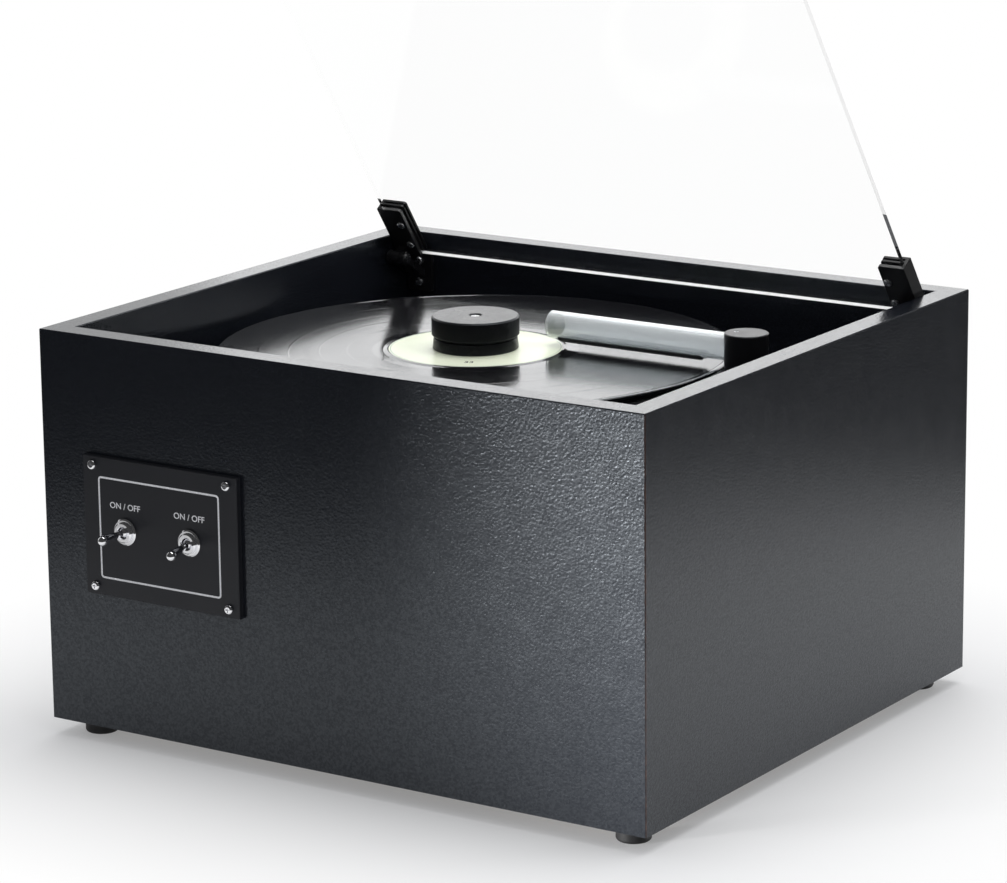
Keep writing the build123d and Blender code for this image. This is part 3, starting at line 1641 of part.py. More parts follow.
pieces = {
    "cabinet_front": cabinet_front.part,
    "cabinet_back": cabinet_back.part,
    "cabinet_left": cabinet_left.part,
    "cabinet_right": cabinet_right.part,
    "bottom_board": bottom_board.part,
    "corner_blocks": corner_blocks.part,
    "deck_board": deck_board.part,
    "deck_screws": deck_screws,
    "rubber_feet": rubber_feet.part,
    "foot_screws": foot_screws,
    "switch_panel": switch_panel.part,
    "panel_screws": panel_screws,
    "switch_bodies": switch_bodies.part,
    "switch_bushings": switch_bushings.part,
    "dress_nuts": dress_nuts.part,
    "left_toggle_lever": left_toggle_lever,
    "right_toggle_lever": right_toggle_lever,
    "platter": platter.part,
    "platter_mat": platter_mat.part,
    "spindle": spindle.part,
    "platter_screws": platter_screws,
    "spindle_bearing": spindle_bearing.part,
    "flange_screws": flange_screws.part,
    "drive_gear": drive_gear.part,
    "motor_pinion": motor_pinion.part,
    "drive_motor": drive_motor.part,
    "motor_bracket": motor_bracket.part,
    "bracket_standoffs": bracket_standoffs.part,
    "machine_screws": machine_screws.part,
    "vinyl_record": vinyl_record.part,
    "record_labels": record_labels.part,
    "clamp_ring": clamp_ring.part,
    "clamp_knob": clamp_knob.part,
    "arm_post": arm_post.part,
    "suction_tube": suction_tube.part,
    "tube_plug": tube_plug.part,
    "velvet_strips": velvet_strips.part,
    "tube_set_screw": tube_set_screw.part,
    "arm_socket": arm_socket.part,
    "arm_spring": arm_spring.part,
    "stem_seal": stem_seal.part,
    "waste_tank": waste_tank.part,
    "tank_cover": tank_cover.part,
    "vacuum_hose": vacuum_hose.part,
    "vacuum_motor_can": vacuum_motor_can.part,
    "vacuum_fan_shell": vacuum_fan_shell.part,
    "fan_rotor": fan_rotor.part,
    "drain_valve": drain_valve.part,
    "drain_handle": drain_handle.part,
    "power_inlet": power_inlet.part,
    "fuse_drawer": fuse_drawer.part,
    "fuse": fuse.part,
    "exhaust_grille": exhaust_grille.part,
    "lid_sheet": lid_sheet.part,
    "lid_clips": drilled_clips.part,
    "clip_screws": clip_screws,
    "hinge_bases": hinge_bases.part,
    "hinge_pins": hinge_pins.part,
    "hinge_screws": hinge_screws,
    "wiring": wiring.part,
}

os.makedirs("parts", exist_ok=True)
for name, piece in pieces.items():
    piece.label = name
    export_step(piece, f"parts/{name}.step")
print(len(pieces), "pieces")
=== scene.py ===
import json
import math
import random

import bmesh
import bpy
from mathutils import Matrix, Vector


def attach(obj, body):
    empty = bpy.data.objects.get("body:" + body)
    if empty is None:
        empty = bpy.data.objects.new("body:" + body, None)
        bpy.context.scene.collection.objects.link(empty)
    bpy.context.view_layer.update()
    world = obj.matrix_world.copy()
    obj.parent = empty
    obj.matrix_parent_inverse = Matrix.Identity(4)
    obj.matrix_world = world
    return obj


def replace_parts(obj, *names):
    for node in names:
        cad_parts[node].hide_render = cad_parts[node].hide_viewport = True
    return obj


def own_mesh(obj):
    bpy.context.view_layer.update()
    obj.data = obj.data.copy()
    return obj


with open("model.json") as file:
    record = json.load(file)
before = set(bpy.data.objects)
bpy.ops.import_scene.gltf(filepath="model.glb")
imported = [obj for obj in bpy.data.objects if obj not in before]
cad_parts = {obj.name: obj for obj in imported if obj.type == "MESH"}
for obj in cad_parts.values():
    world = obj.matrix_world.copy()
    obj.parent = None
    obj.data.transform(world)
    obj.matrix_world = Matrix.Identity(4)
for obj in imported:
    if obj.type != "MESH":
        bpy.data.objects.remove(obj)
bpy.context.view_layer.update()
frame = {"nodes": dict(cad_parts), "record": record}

nodes = frame["nodes"]

# ---- places and sizes, in metres, in the row's frame ----

HALF_WIDTH = 0.2  # the cabinet's, rounded
HALF_DEPTH = 0.18
LID_ANGLE = math.radians(55)
LID_SLOPE = (0.0, -math.cos(LID_ANGLE), math.sin(LID_ANGLE))

SPINDLE = (-0.025, 0.0)
RECORD_MIDDLE = 0.213
RECORD_HOLE = 0.00362
LABEL_FACE = 0.0012  # half the record's thickness at its label
LABEL_RADIUS = 0.0505
LABEL_THICKNESS = 0.00015
GROOVED_FACE = 0.0008  # half its thickness where it is cut
RIDGE_FACE = 0.00082  # and between two tracks
GROOVES = (0.0602, 0.1462)
TRACK_GAPS = (0.0745, 0.0905, 0.1085, 0.1262)

ARM = (0.138, 0.031)
TUBE_HEIGHT = 0.226

PANEL_FACE = -0.1847
PRINT_FRAME = (-0.1159, PANEL_FACE, 0.1307)
PRINT_WIDTH = 0.0853
PRINT_HEIGHT = 0.0596
PRINT_LINE = 0.0011
WORDS_HEIGHT = 0.1448
TOGGLE_X = (-0.13975, -0.09445)

LEAD_RADIUS = 0.0025
HOSE_OUTER = 0.016
HOSE_BORE = 0.0135
SPIGOT_REACH = 0.012

# ---- the room, as reflections show it ----

COOL = (0.86, 0.93, 1.0)  # the bluish tint of dark surfaces' reflections
BACKDROP = Vector((-0.64, 0.77, 0.0)).normalized()
BACKDROP_EDGE = (0.45, 0.75)  # cosines off its middle between which it grows white
ROOM = 0.05  # the light of the rest of the room, which the floor also paints into its glow in reflections


# ---- node trees ----


class Tree:
    """A cleared node tree, with short calls for the nodes used here."""

    def __init__(self, owner, output):
        owner.use_nodes = True
        self.tree = owner.node_tree
        self.tree.nodes.clear()
        self.output = self.node(output).inputs["Surface"]

    def node(self, kind, **values):
        made = self.tree.nodes.new(kind)
        for key, value in values.items():
            setattr(made, key, value)
        return made

    def put(self, socket, value):
        """A socket gets a number, a colour, or another node's output."""
        if isinstance(value, bpy.types.NodeSocket):
            self.tree.links.new(value, socket)
        elif isinstance(value, (tuple, list)) and len(value) == 3 and socket.type == "RGBA":
            socket.default_value = (*value, 1.0)
        else:
            socket.default_value = value

    def fill(self, made, *values):
        """A node's first inputs, in order."""
        for socket, value in zip(made.inputs, values):
            self.put(socket, value)
        return made

    def math(self, operation, *values):
        return self.fill(self.node("ShaderNodeMath", operation=operation), *values).outputs[0]

    def plus(self, a, b):
        return self.math("ADD", a, b)

    def minus(self, a, b):
        return self.math("SUBTRACT", a, b)

    def times(self, a, b):
        return self.math("MULTIPLY", a, b)

    def larger(self, a, b):
        return self.math("MAXIMUM", a, b)

    def absolute(self, a):
        return self.math("ABSOLUTE", a)

    def hypotenuse(self, a, b):
        return self.math("SQRT", self.plus(self.times(a, a), self.times(b, b)))

    def remap(self, value, low, high, to_low, to_high):
        made = self.node("ShaderNodeMapRange")
        return self.fill(made, value, low, high, to_low, to_high).outputs[0]

    def along(self, vector, direction):
        """The part of a vector that lies along a direction."""
        made = self.node("ShaderNodeVectorMath", operation="DOT_PRODUCT")
        return self.fill(made, vector, direction).outputs["Value"]

    def parts(self, vector):
        return self.fill(self.node("ShaderNodeSeparateXYZ"), vector).outputs

    def rays(self):
        """Rays that see the scene, straight or through something clear, and reflected rays."""
        path = self.node("ShaderNodeLightPath").outputs
        return self.larger(path["Is Camera Ray"], path["Is Transmission Ray"]), path["Is Glossy Ray"]

    def blend(self, factor, first, second):
        """The output shows the second shader where the factor is 1, and else the first."""
        made = self.fill(self.node("ShaderNodeMixShader"), factor, first, second)
        self.put(self.output, made.outputs[0])


class Shade(Tree):
    """A material with one principled surface, patterned over the piece's own coordinates."""

    def __init__(self, name):
        self.material = bpy.data.materials.new(name)
        super().__init__(self.material, "ShaderNodeOutputMaterial")
        self.surface = self.node("ShaderNodeBsdfPrincipled")
        self.put(self.output, self.surface.outputs[0])
        self.place = self.node("ShaderNodeTexCoord").outputs["Object"]

    def set(self, **values):
        for key, value in values.items():
            self.put(self.surface.inputs[key.replace("_", " ")], value)

    def noise(self, scale, detail, rough, place=None, stretch=None):
        made = self.node("ShaderNodeTexNoise")
        source = self.place if place is None else place
        if stretch is not None:
            move = self.node("ShaderNodeMapping")
            self.put(move.inputs["Scale"], stretch)
            self.put(move.inputs["Vector"], source)
            source = move.outputs[0]
        settings = (("Vector", source), ("Scale", scale), ("Detail", detail), ("Roughness", rough))
        for key, value in settings:
            self.put(made.inputs[key], value)
        return made.outputs[0]

    def cells(self, scale):
        made = self.node("ShaderNodeTexVoronoi")
        self.put(made.inputs["Vector"], self.place)
        self.put(made.inputs["Scale"], scale)
        return made.outputs["Distance"]

    def vary(self, noise, low, high):
        """A number from low to high, over the values that a noise mostly takes."""
        return self.remap(noise, 0.3, 0.7, low, high)

    def mix(self, factor, a, b):
        made = self.node("ShaderNodeMix", data_type="RGBA")
        for number, value in ((0, factor), (6, a), (7, b)):
            self.put(made.inputs[number], value)
        return made.outputs[2]

    def shades(self, factor, tone, first, last):
        """A tone that runs from one multiple of itself to another."""
        return self.mix(factor, scaled(tone, first), scaled(tone, last))

    def bump(self, height, distance, strength):
        made = self.node("ShaderNodeBump")
        for key, value in (("Strength", strength), ("Distance", distance), ("Height", height)):
            self.put(made.inputs[key], value)
        return made.outputs[0]

    def radius(self, x, y):
        """Distance from an upright axis."""
        px, py, _ = self.parts(self.place)
        return self.hypotenuse(self.minus(px, x), self.minus(py, y))


def scaled(tone, factor):
    return tuple(factor * c for c in tone)


# ---- materials ----


def laminate(name, tone, gloss=0.22):
    """Black pebbled laminate, brown where the mitred edges are broken."""
    s = Shade(name)
    fine = s.noise(1500, 2, 0.55)
    pebble = s.cells(620)
    cloud = s.noise(9, 3, 0.55)
    spot = s.noise(760, 1, 0.5)
    nx, ny, nz = s.parts(s.node("ShaderNodeNewGeometry").outputs["Normal"])
    broken = s.remap(s.absolute(s.times(nx, ny)), 0.3, 0.45, 0.0, 1.0)
    worn = s.remap(s.noise(160, 4, 0.7), 0.42, 0.62, 0.35, 1.0)
    base = s.shades(cloud, tone, 1.0, 1.35)
    base = s.mix(s.remap(fine, 0.64, 0.78, 0.0, 0.4), base, (0.04, 0.042, 0.05))
    base = s.mix(s.times(broken, worn), base, (0.16, 0.07, 0.04))
    top = s.remap(nz, 0.9, 0.99, 0.0, 1.0)
    rough = s.vary(s.noise(60, 3, 0.5), gloss - 0.01, gloss + 0.015)
    grain = s.plus(s.times(pebble, 0.6), spot)
    s.set(Base_Color=base, Roughness=s.minus(rough, s.times(top, 0.03)))
    s.set(Specular_IOR_Level=s.remap(spot, 0.36, 0.64, 0.4, 0.61), Specular_Tint=COOL)
    s.set(Normal=s.bump(grain, 0.0001, 0.6))
    return s.material


def fibreboard(name, tone):
    """Pressed wood fibre, with patches."""
    s = Shade(name)
    fibre = s.noise(420, 6, 0.7, stretch=(1.0, 1.0, 0.35))
    patch = s.noise(22, 3, 0.5)
    base = s.shades(s.vary(fibre, 0.0, 1.0), tone, 0.68, 1.0)
    base = s.mix(s.times(patch, 0.35), base, scaled(tone, 1.15))
    s.set(Base_Color=base, Roughness=s.vary(fibre, 0.72, 0.9))
    s.set(Normal=s.bump(fibre, 0.00015, 0.6))
    return s.material


def plastic(name, tone, rough=0.35, grain=900, depth=0.00002, coat=0.0, shine=0.5):
    """Moulded or turned plastic with a fine skin and faint handling marks."""
    s = Shade(name)
    skin = s.noise(grain, 3, 0.5)
    cloud = s.noise(35, 4, 0.6)
    s.set(Base_Color=s.shades(cloud, tone, 0.85, 1.2))
    s.set(Roughness=s.vary(cloud, rough - 0.05, rough + 0.07), Specular_IOR_Level=shine)
    s.set(Normal=s.bump(skin, depth, 0.5), Coat_Weight=coat, Coat_Roughness=0.08)
    return s.material


def turned_plastic(name, tone, rough, x, y):
    """Plastic turned on a lathe: fine rings about the axis on the ends, bands on the side."""
    s = Shade(name)
    radius = s.radius(x, y)
    _, _, pz = s.parts(s.place)
    ring = s.math("SINE", s.times(s.plus(radius, pz), 16000.0))
    cloud = s.noise(60, 4, 0.6)
    s.set(Base_Color=s.shades(cloud, tone, 0.85, 1.25))
    s.set(Roughness=s.plus(s.remap(ring, -1.0, 1.0, -0.03, 0.03), s.vary(cloud, rough, rough + 0.08)))
    s.set(Normal=s.bump(ring, 0.000003, 0.6), Specular_IOR_Level=0.3, Specular_Tint=COOL)
    return s.material


def metal(name, tone, rough, brush=None, depth=0.00001, grain=500):
    """Metal with drawn or tumbled marks; brush stretches them along one axis."""
    s = Shade(name)
    mark = s.noise(grain, 5, 0.65, stretch=brush)
    cloud = s.noise(45, 3, 0.5)
    s.set(Base_Color=s.shades(s.vary(mark, 0.0, 1.0), tone, 0.82, 1.0), Metallic=1.0)
    s.set(Roughness=s.plus(s.vary(mark, -0.05, 0.06), s.vary(cloud, rough, rough + 0.05)))
    s.set(Normal=s.bump(mark, depth, 0.5))
    return s.material


def chrome(name):
    """Bright plate with a faint haze."""
    s = Shade(name)
    haze = s.noise(220, 4, 0.6)
    s.set(Base_Color=s.mix(haze, (0.78, 0.79, 0.82), (0.9, 0.9, 0.92)), Metallic=1.0)
    s.set(Roughness=s.vary(haze, 0.04, 0.11), Normal=s.bump(haze, 0.000004, 0.4))
    return s.material


def rubber(name, tone, rough=0.62):
    """Rubber with a grey bloom."""
    s = Shade(name)
    skin = s.noise(700, 4, 0.6)
    bloom = s.noise(50, 4, 0.65)
    grey = tuple(1.8 * c + 0.006 for c in tone)
    s.set(Base_Color=s.mix(s.remap(bloom, 0.45, 0.75, 0.0, 1.0), tone, grey))
    s.set(Roughness=s.vary(bloom, rough - 0.08, rough + 0.1), Normal=s.bump(skin, 0.00005, 0.5))
    return s.material


def clear(name, tint, rough=0.0, shine=(1.0, 1.0, 1.0), slope=None, index=1.49, body=0.0):
    """Clear plastic: faint ripple, faint haze, and light that passes for shadows.

    A sheet that rises along slope has sawn edges at its foot and head, which scatter light.
    Plastic with some body is slightly milky.
    """
    s = Shade(name)
    ripple = s.noise(14, 2, 0.5)
    haze = s.noise(300, 3, 0.6)
    skin = s.vary(haze, rough, rough + 0.004)
    passed = 1.0 - body
    if slope is not None:
        facing = s.along(s.node("ShaderNodeTexCoord").outputs["Normal"], slope)
        edge = s.math("GREATER_THAN", s.absolute(facing), 0.5)
        skin = s.plus(skin, s.times(edge, 0.3))
        passed = s.minus(1.0, s.times(edge, 0.7))
    s.set(Base_Color=s.shades(haze, tint, 1.0, 0.995), IOR=index)
    s.set(Roughness=skin, Transmission_Weight=passed, Specular_Tint=shine)
    s.set(Normal=s.bump(ripple, 0.0002, 0.05))
    passing = s.fill(s.node("ShaderNodeBsdfTransparent"), scaled(tint, 0.96))
    shadow = s.node("ShaderNodeLightPath").outputs["Is Shadow Ray"]
    s.blend(shadow, s.surface.outputs[0], passing.outputs[0])
    return s.material


def milky(name, tone):
    """Blown translucent plastic, as of a tank."""
    s = Shade(name)
    flow = s.noise(24, 4, 0.55, stretch=(1.0, 1.0, 0.4))
    skin = s.noise(260, 3, 0.5)
    s.set(Base_Color=s.shades(flow, tone, 0.88, 1.0), Roughness=s.vary(skin, 0.32, 0.46))
    s.set(Normal=s.bump(skin, 0.00006, 0.4), Subsurface_Weight=0.3, Subsurface_Scale=0.004)
    return s.material


def velvet(name):
    """Black pile, laid along the strip."""
    s = Shade(name)
    pile = s.noise(2600, 3, 0.6)
    lay = s.noise(120, 3, 0.5, stretch=(0.4, 1.0, 1.0))
    s.set(Base_Color=s.mix(lay, (0.006, 0.006, 0.007), (0.02, 0.02, 0.023)), Roughness=0.95)
    s.set(Sheen_Weight=0.5, Sheen_Roughness=0.35, Normal=s.bump(pile, 0.00025, 0.9))
    return s.material


def record_vinyl(name):
    """Pressed vinyl. The piece's own origin is on the spindle, so rings follow the radius."""
    s = Shade(name)
    radius = s.radius(0.0, 0.0)
    outward = s.fill(s.node("ShaderNodeCombineXYZ"), radius).outputs[0]
    groove = s.noise(2300, 2, 0.6, place=outward)
    band = s.noise(190, 3, 0.6, place=outward)
    swirl = s.noise(30, 2, 0.5)
    first, last = GROOVES
    cut = s.times(s.math("GREATER_THAN", radius, first), s.math("LESS_THAN", radius, last))
    gaps = 0.0
    for place in TRACK_GAPS:
        near = s.math("LESS_THAN", s.absolute(s.minus(radius, place)), 0.0004)
        gaps = s.larger(near, gaps)
    cut = s.times(cut, s.minus(1.0, gaps))
    rough = s.plus(s.times(cut, s.vary(band, 0.09, 0.12)), s.times(swirl, 0.05))
    tangent = s.node("ShaderNodeTangent", direction_type="RADIAL", axis="Z")
    s.set(Base_Color=s.mix(band, (0.005, 0.005, 0.006), (0.007, 0.007, 0.008)))
    s.set(Roughness=s.larger(rough, 0.08), Specular_IOR_Level=0.6, Specular_Tint=COOL)
    s.set(Anisotropic=s.times(cut, 0.7), Tangent=tangent.outputs[0])
    s.set(Normal=s.bump(s.times(groove, cut), 0.00003, 0.35))
    return s.material


def label_paper(name):
    """Pale green paper with two printed rings."""
    s = Shade(name)
    radius = s.radius(0.0, 0.0)
    paper = s.noise(900, 4, 0.6)
    base = s.mix(paper, (0.74, 0.79, 0.6), (0.82, 0.86, 0.7))
    for ring, half_line in ((0.0495, 0.0003), (0.0168, 0.00025)):
        printed = s.math("LESS_THAN", s.absolute(s.minus(radius, ring)), half_line)
        base = s.mix(printed, base, (0.3, 0.38, 0.3))
    s.set(Base_Color=base, Roughness=0.42, Normal=s.bump(paper, 0.00002, 0.4))
    s.set(Coat_Weight=0.25, Coat_Roughness=0.2)
    return s.material


def enamel(name, tone, rough=0.3):
    """Paint with orange peel over metal."""
    s = Shade(name)
    peel = s.noise(260, 2, 0.5)
    cloud = s.noise(30, 3, 0.5)
    s.set(Base_Color=s.shades(cloud, tone, 0.85, 1.0), Roughness=s.vary(cloud, rough, rough + 0.08))
    s.set(Normal=s.bump(peel, 0.00006, 0.35), Coat_Weight=0.3, Coat_Roughness=0.15)
    return s.material


def white_print(name):
    """Screen-printed ink, thin in spots."""
    s = Shade(name)
    wear = s.noise(1300, 4, 0.65)
    ink = s.remap(wear, 0.35, 0.6, 0.0, 1.0)
    s.set(Base_Color=s.mix(ink, (0.62, 0.62, 0.64), (0.86, 0.86, 0.88)))
    s.set(Roughness=0.45, Normal=s.bump(wear, 0.00001, 0.4))
    return s.material


paint = {
    "laminate": laminate("black laminate", (0.0065, 0.0075, 0.0105)),
    "deck_black": laminate("deck laminate", (0.005, 0.005, 0.006), 0.5),
    "board": fibreboard("fibreboard", (0.36, 0.25, 0.15)),
    "zinc": metal("zinc plate", (0.72, 0.73, 0.76), 0.24, grain=900),
    "chrome": chrome("chrome plate"),
    "foot_rubber": rubber("foot rubber", (0.008, 0.008, 0.009)),
    "panel_plastic": plastic("panel plastic", (0.015, 0.016, 0.02), 0.42, 1400, 0.00003, shine=0.3),
    "black_plastic": plastic("black plastic", (0.008, 0.008, 0.009), 0.32),
    "platter_metal": metal("turned aluminium", (0.62, 0.62, 0.64), 0.3, (1.0, 1.0, 30.0)),
    "mat_rubber": rubber("mat rubber", (0.012, 0.012, 0.013), 0.7),
    "steel": metal("ground steel", (0.6, 0.6, 0.62), 0.22, (1.0, 1.0, 40.0)),
    "bronze": metal("bearing bronze", (0.62, 0.42, 0.2), 0.3, (1.0, 1.0, 25.0)),
    "gear_plastic": plastic("gear plastic", (0.74, 0.7, 0.58), 0.4),
    "motor_paint": enamel("motor enamel", (0.03, 0.032, 0.036)),
    "clamp_plastic": turned_plastic("turned black plastic", (0.007, 0.007, 0.008), 0.26, *SPINDLE),
    "post": turned_plastic("turned post", (0.008, 0.008, 0.009), 0.3, *ARM),
    "clear_plastic": clear(
        "clear sheet", (0.998, 1.0, 0.999), shine=(0.15, 0.15, 0.15), slope=LID_SLOPE, index=1.15
    ),
    "tube_clear": clear("clear tube", (0.95, 0.975, 0.985), 0.015, body=0.24),
    "plug_plastic": plastic("plug plastic", (0.03, 0.05, 0.035), 0.3),
    "velvet": velvet("velvet pile"),
    "spring_steel": metal("spring wire", (0.5, 0.5, 0.53), 0.28),
    "seal_rubber": rubber("seal rubber", (0.01, 0.01, 0.011), 0.4),
    "tank_plastic": milky("tank plastic", (0.78, 0.79, 0.76)),
    "hose_rubber": rubber("hose rubber", (0.02, 0.02, 0.021), 0.5),
    "sheet_steel": metal("pressed sheet", (0.66, 0.67, 0.69), 0.3, (30.0, 1.0, 1.0)),
    "nickel_brass": metal("plated brass", (0.74, 0.62, 0.36), 0.2),
    "lever_red": plastic("dipped lever", (0.4, 0.03, 0.02), 0.3, coat=0.4),
    "glass": clear("fuse glass", (0.95, 0.97, 0.97)),
    "cable_sheath": rubber("cable sheath", (0.012, 0.012, 0.013), 0.45),
    "vinyl": record_vinyl("record vinyl"),
    "label_paper": label_paper("label paper"),
    "print": white_print("white print"),
}
slots = {row["node"]: row["material_slot"] for row in frame["record"]["subparts"]}
own_paint = {"suction_tube": "tube_clear", "arm_post": "post"}  # unlike the rest of their slots

for name, piece in nodes.items():
    piece.data.materials.clear()
    piece.data.materials.append(paint[own_paint.get(name, slots[name])])


# ---- building pieces ----

SHARP = math.radians(32)  # edges steeper than this stay sharp while the rest is smooth


def add(name, data):
    """A new object in the scene."""
    made = bpy.data.objects.new(name, data)
    bpy.context.scene.collection.objects.link(made)
    return made


def piece_from(name, mesh_data, material, body, place=(0, 0, 0), smooth=True):
    """A piece that has one material and moves with a body."""
    mesh_data.materials.clear()
    mesh_data.materials.append(material)
    if smooth:
        for face in mesh_data.polygons:
            face.use_smooth = True
    piece = add(name, mesh_data)
    piece.location = place
    bpy.context.view_layer.update()
    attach(piece, body)
    return piece


def mesh_from(name, work):
    """The mesh of a finished bmesh, its faces turned outwards."""
    bmesh.ops.recalc_face_normals(work, faces=work.faces)
    mesh_data = bpy.data.meshes.new(name)
    work.to_mesh(mesh_data)
    work.free()
    return mesh_data


def bridge(work, first, second):
    """Faces between two closed rows of points."""
    for n in range(len(first)):
        m = (n + 1) % len(first)
        work.faces.new((first[n], second[n], second[m], first[m]))


def sharpen(piece):
    work = bmesh.new()
    work.from_mesh(piece.data)
    for edge in work.edges:
        if len(edge.link_faces) == 2 and edge.calc_face_angle(0.0) > SHARP:
            edge.smooth = False
    work.to_mesh(piece.data)
    work.free()
    return piece


def lathe(name, profile, material, body, place, steps):
    """A closed ring turned about the piece's own upright axis from (radius, height) points."""
    work = bmesh.new()
    rings = []
    for k in range(steps):
        angle = 2 * math.pi * k / steps
        rings.append(
            [work.verts.new((r * math.cos(angle), r * math.sin(angle), z)) for r, z in profile]
        )
    for k in range(steps):
        bridge(work, rings[k], rings[(k + 1) % steps])
    return sharpen(piece_from(name, mesh_from(name, work), material, body, place))


def rounded(width, height, radius, steps=8):
    """The corner-rounded outline of a rectangle about the origin."""
    points = []
    for k, (sx, sy) in enumerate(((1, 1), (-1, 1), (-1, -1), (1, -1))):
        cx, cy = sx * (width / 2 - radius), sy * (height / 2 - radius)
        for n in range(steps + 1):
            angle = math.pi / 2 * (k + n / steps)
            points.append((cx + radius * math.cos(angle), cy + radius * math.sin(angle)))
    return points


def ring_print(name, outer, inner, place, body, thickness=0.00004):
    """A printed frame between two outlines on the switch panel's face."""
    work = bmesh.new()
    (back_outer, back_inner), (front_outer, front_inner) = (
        [[work.verts.new((x, y, z)) for x, z in outline] for outline in (outer, inner)]
        for y in (0.0, -thickness)
    )
    bridge(work, front_outer, front_inner)
    bridge(work, back_outer, front_outer)
    bridge(work, back_inner, front_inner)
    return piece_from(name, mesh_from(name, work), paint["print"], body, place, smooth=False)


def mesh_of(curve):
    """A line or words as a mesh."""
    holder = add(curve.name + "_holder", curve)
    bpy.context.view_layer.update()
    mesh_data = bpy.data.meshes.new_from_object(
        holder.evaluated_get(bpy.context.evaluated_depsgraph_get())
    )
    bpy.data.objects.remove(holder)
    return mesh_data


def lettering(name, text, material, height, place, turn, body, width=None, thickness=0.00006):
    """Plain capitals as thin printed shapes, from outlines of any size."""
    curve = bpy.data.curves.new(name + "_curve", "FONT")
    curve.body = text
    curve.align_x = "CENTER"
    curve.align_y = "CENTER"
    curve.extrude = 0.02
    curve.offset = 0.012
    mesh_data = mesh_of(curve)
    xs, ys, zs = zip(*(v.co for v in mesh_data.vertices))
    tall = height / (max(ys) - min(ys))
    wide = width / (max(xs) - min(xs)) if width else tall
    deep = thickness / (max(zs) - min(zs))
    middle = Vector(((max(xs) + min(xs)) / 2, (max(ys) + min(ys)) / 2, min(zs)))
    for v in mesh_data.vertices:
        v.co = turn @ Vector(
            ((v.co.x - middle.x) * wide, (v.co.y - middle.y) * tall, (v.co.z - middle.z) * deep)
        )
    return piece_from(name, mesh_data, material, body, place, smooth=False)


# ---- record and labels ----

record_profile = [
    (RECORD_HOLE, LABEL_FACE), (0.0050, 0.00125), (0.0160, LABEL_FACE), (0.0166, 0.00112),
    (0.0174, LABEL_FACE), (0.0512, LABEL_FACE), (0.0520, 0.00115), (0.0532, GROOVED_FACE),
    (0.0538, GROOVED_FACE),
]
for gap in TRACK_GAPS:
    for off in (-0.0009, -0.0007, -0.0005, 0.0005, 0.0007, 0.0009):
        record_profile.append((gap + off, RIDGE_FACE if abs(off) < 0.0006 else GROOVED_FACE))
record_profile += [
    (0.1456, GROOVED_FACE), (GROOVES[1], GROOVED_FACE), (0.1468, RIDGE_FACE), (0.1474, 0.00094),
    (0.1482, 0.001), (0.1495, 0.00099), (0.1502, 0.00085), (0.1506, 0.0006), (0.1508, 0.0002),
]
record_profile += [(r, -z) for r, z in reversed(record_profile)]
record = lathe(
    "record_disc", record_profile, paint["vinyl"], "turntable", (*SPINDLE, RECORD_MIDDLE), 384
)
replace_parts(record, "vinyl_record")

for side, low in (("upper", LABEL_FACE), ("lower", -LABEL_FACE - LABEL_THICKNESS)):
    high = low + LABEL_THICKNESS
    rim, bevel, chamfer = LABEL_RADIUS, 0.0003, 0.00004
    disc = [(RECORD_HOLE, low), (rim - bevel, low), (rim, low + chamfer)]
    disc += [(rim, high - chamfer), (rim - bevel, high), (RECORD_HOLE, high)]
    label = lathe(
        side + "_label", disc, paint["label_paper"], "turntable", (*SPINDLE, RECORD_MIDDLE), 192
    )
    if side == "upper":
        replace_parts(label, "record_labels")

NUMBER_RADIUS = 0.039
label_top = RECORD_MIDDLE + LABEL_FACE + LABEL_THICKNESS
for angle, number in ((-62, "33"), (118, "1")):
    spin = math.radians(angle)
    mark = lettering(
        "label_number_" + number,
        number,
        paint["panel_plastic"],
        0.0042,
        (
            SPINDLE[0] + NUMBER_RADIUS * math.cos(spin),
            SPINDLE[1] + NUMBER_RADIUS * math.sin(spin),
            label_top,
        ),
        Matrix.Rotation(spin + math.pi / 2, 3, "Z"),
        "turntable",
    )

# ---- switch panel's print ----

frame_print = ring_print(
    "panel_frame_print",
    rounded(PRINT_WIDTH, PRINT_HEIGHT, 0.0022),
    rounded(PRINT_WIDTH - 2 * PRINT_LINE, PRINT_HEIGHT - 2 * PRINT_LINE, 0.0012),
    PRINT_FRAME,
    "cabinet",
)
face_front = Matrix.Rotation(math.pi / 2, 3, "X")
for side, x in zip(("left", "right"), TOGGLE_X):
    words = lettering(
        side + "_switch_print", "ON / OFF", paint["print"], 0.0036,
        (x, PANEL_FACE, WORDS_HEIGHT), face_front, "cabinet", width=0.0215,
    )

# ---- velvet strips along the tube ----


def pile_strip(name, side):
    """One strip of pile: an arc of the tube's underside, closed, with a ragged skin."""
    rng = random.Random(7 if side < 0 else 11)
    inner, outer = 0.00802, 0.00955
    low, high = math.asin(0.0014 / inner), math.asin(0.0064 / outer)
    around, along = 16, 220
    start, end = 0.015, 0.111
    ragged = 0.00012
    work = bmesh.new()
    rows = []
    for k in range(along + 1):
        x = start + (end - start) * k / along
        taper = min(1.0, min(k, along - k) / 3 + 0.35)
        row = []
        for n in range(around + 1):
            angle = low + (high - low) * n / around
            edge = min(1.0, min(n, around - n) / 2 + 0.45)
            r = inner + (outer - inner) * min(taper, edge) + rng.uniform(-ragged, ragged)
            row.append((r, angle))
        row += [(inner, high), (inner, (low + high) / 2), (inner, low)]
        rows.append(
            [
                work.verts.new((x, ARM[1] + side * r * math.sin(a), TUBE_HEIGHT - r * math.cos(a)))
                for r, a in row
            ]
        )
    for a, b in zip(rows, rows[1:]):
        bridge(work, a, b)
    work.faces.new(rows[0])
    work.faces.new(list(reversed(rows[-1])))
    strip = piece_from(name, mesh_from(name, work), paint["velvet"], "arm")
    return strip


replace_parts(pile_strip("near_velvet_strip", -1), "velvet_strips")
pile_strip("far_velvet_strip", 1)
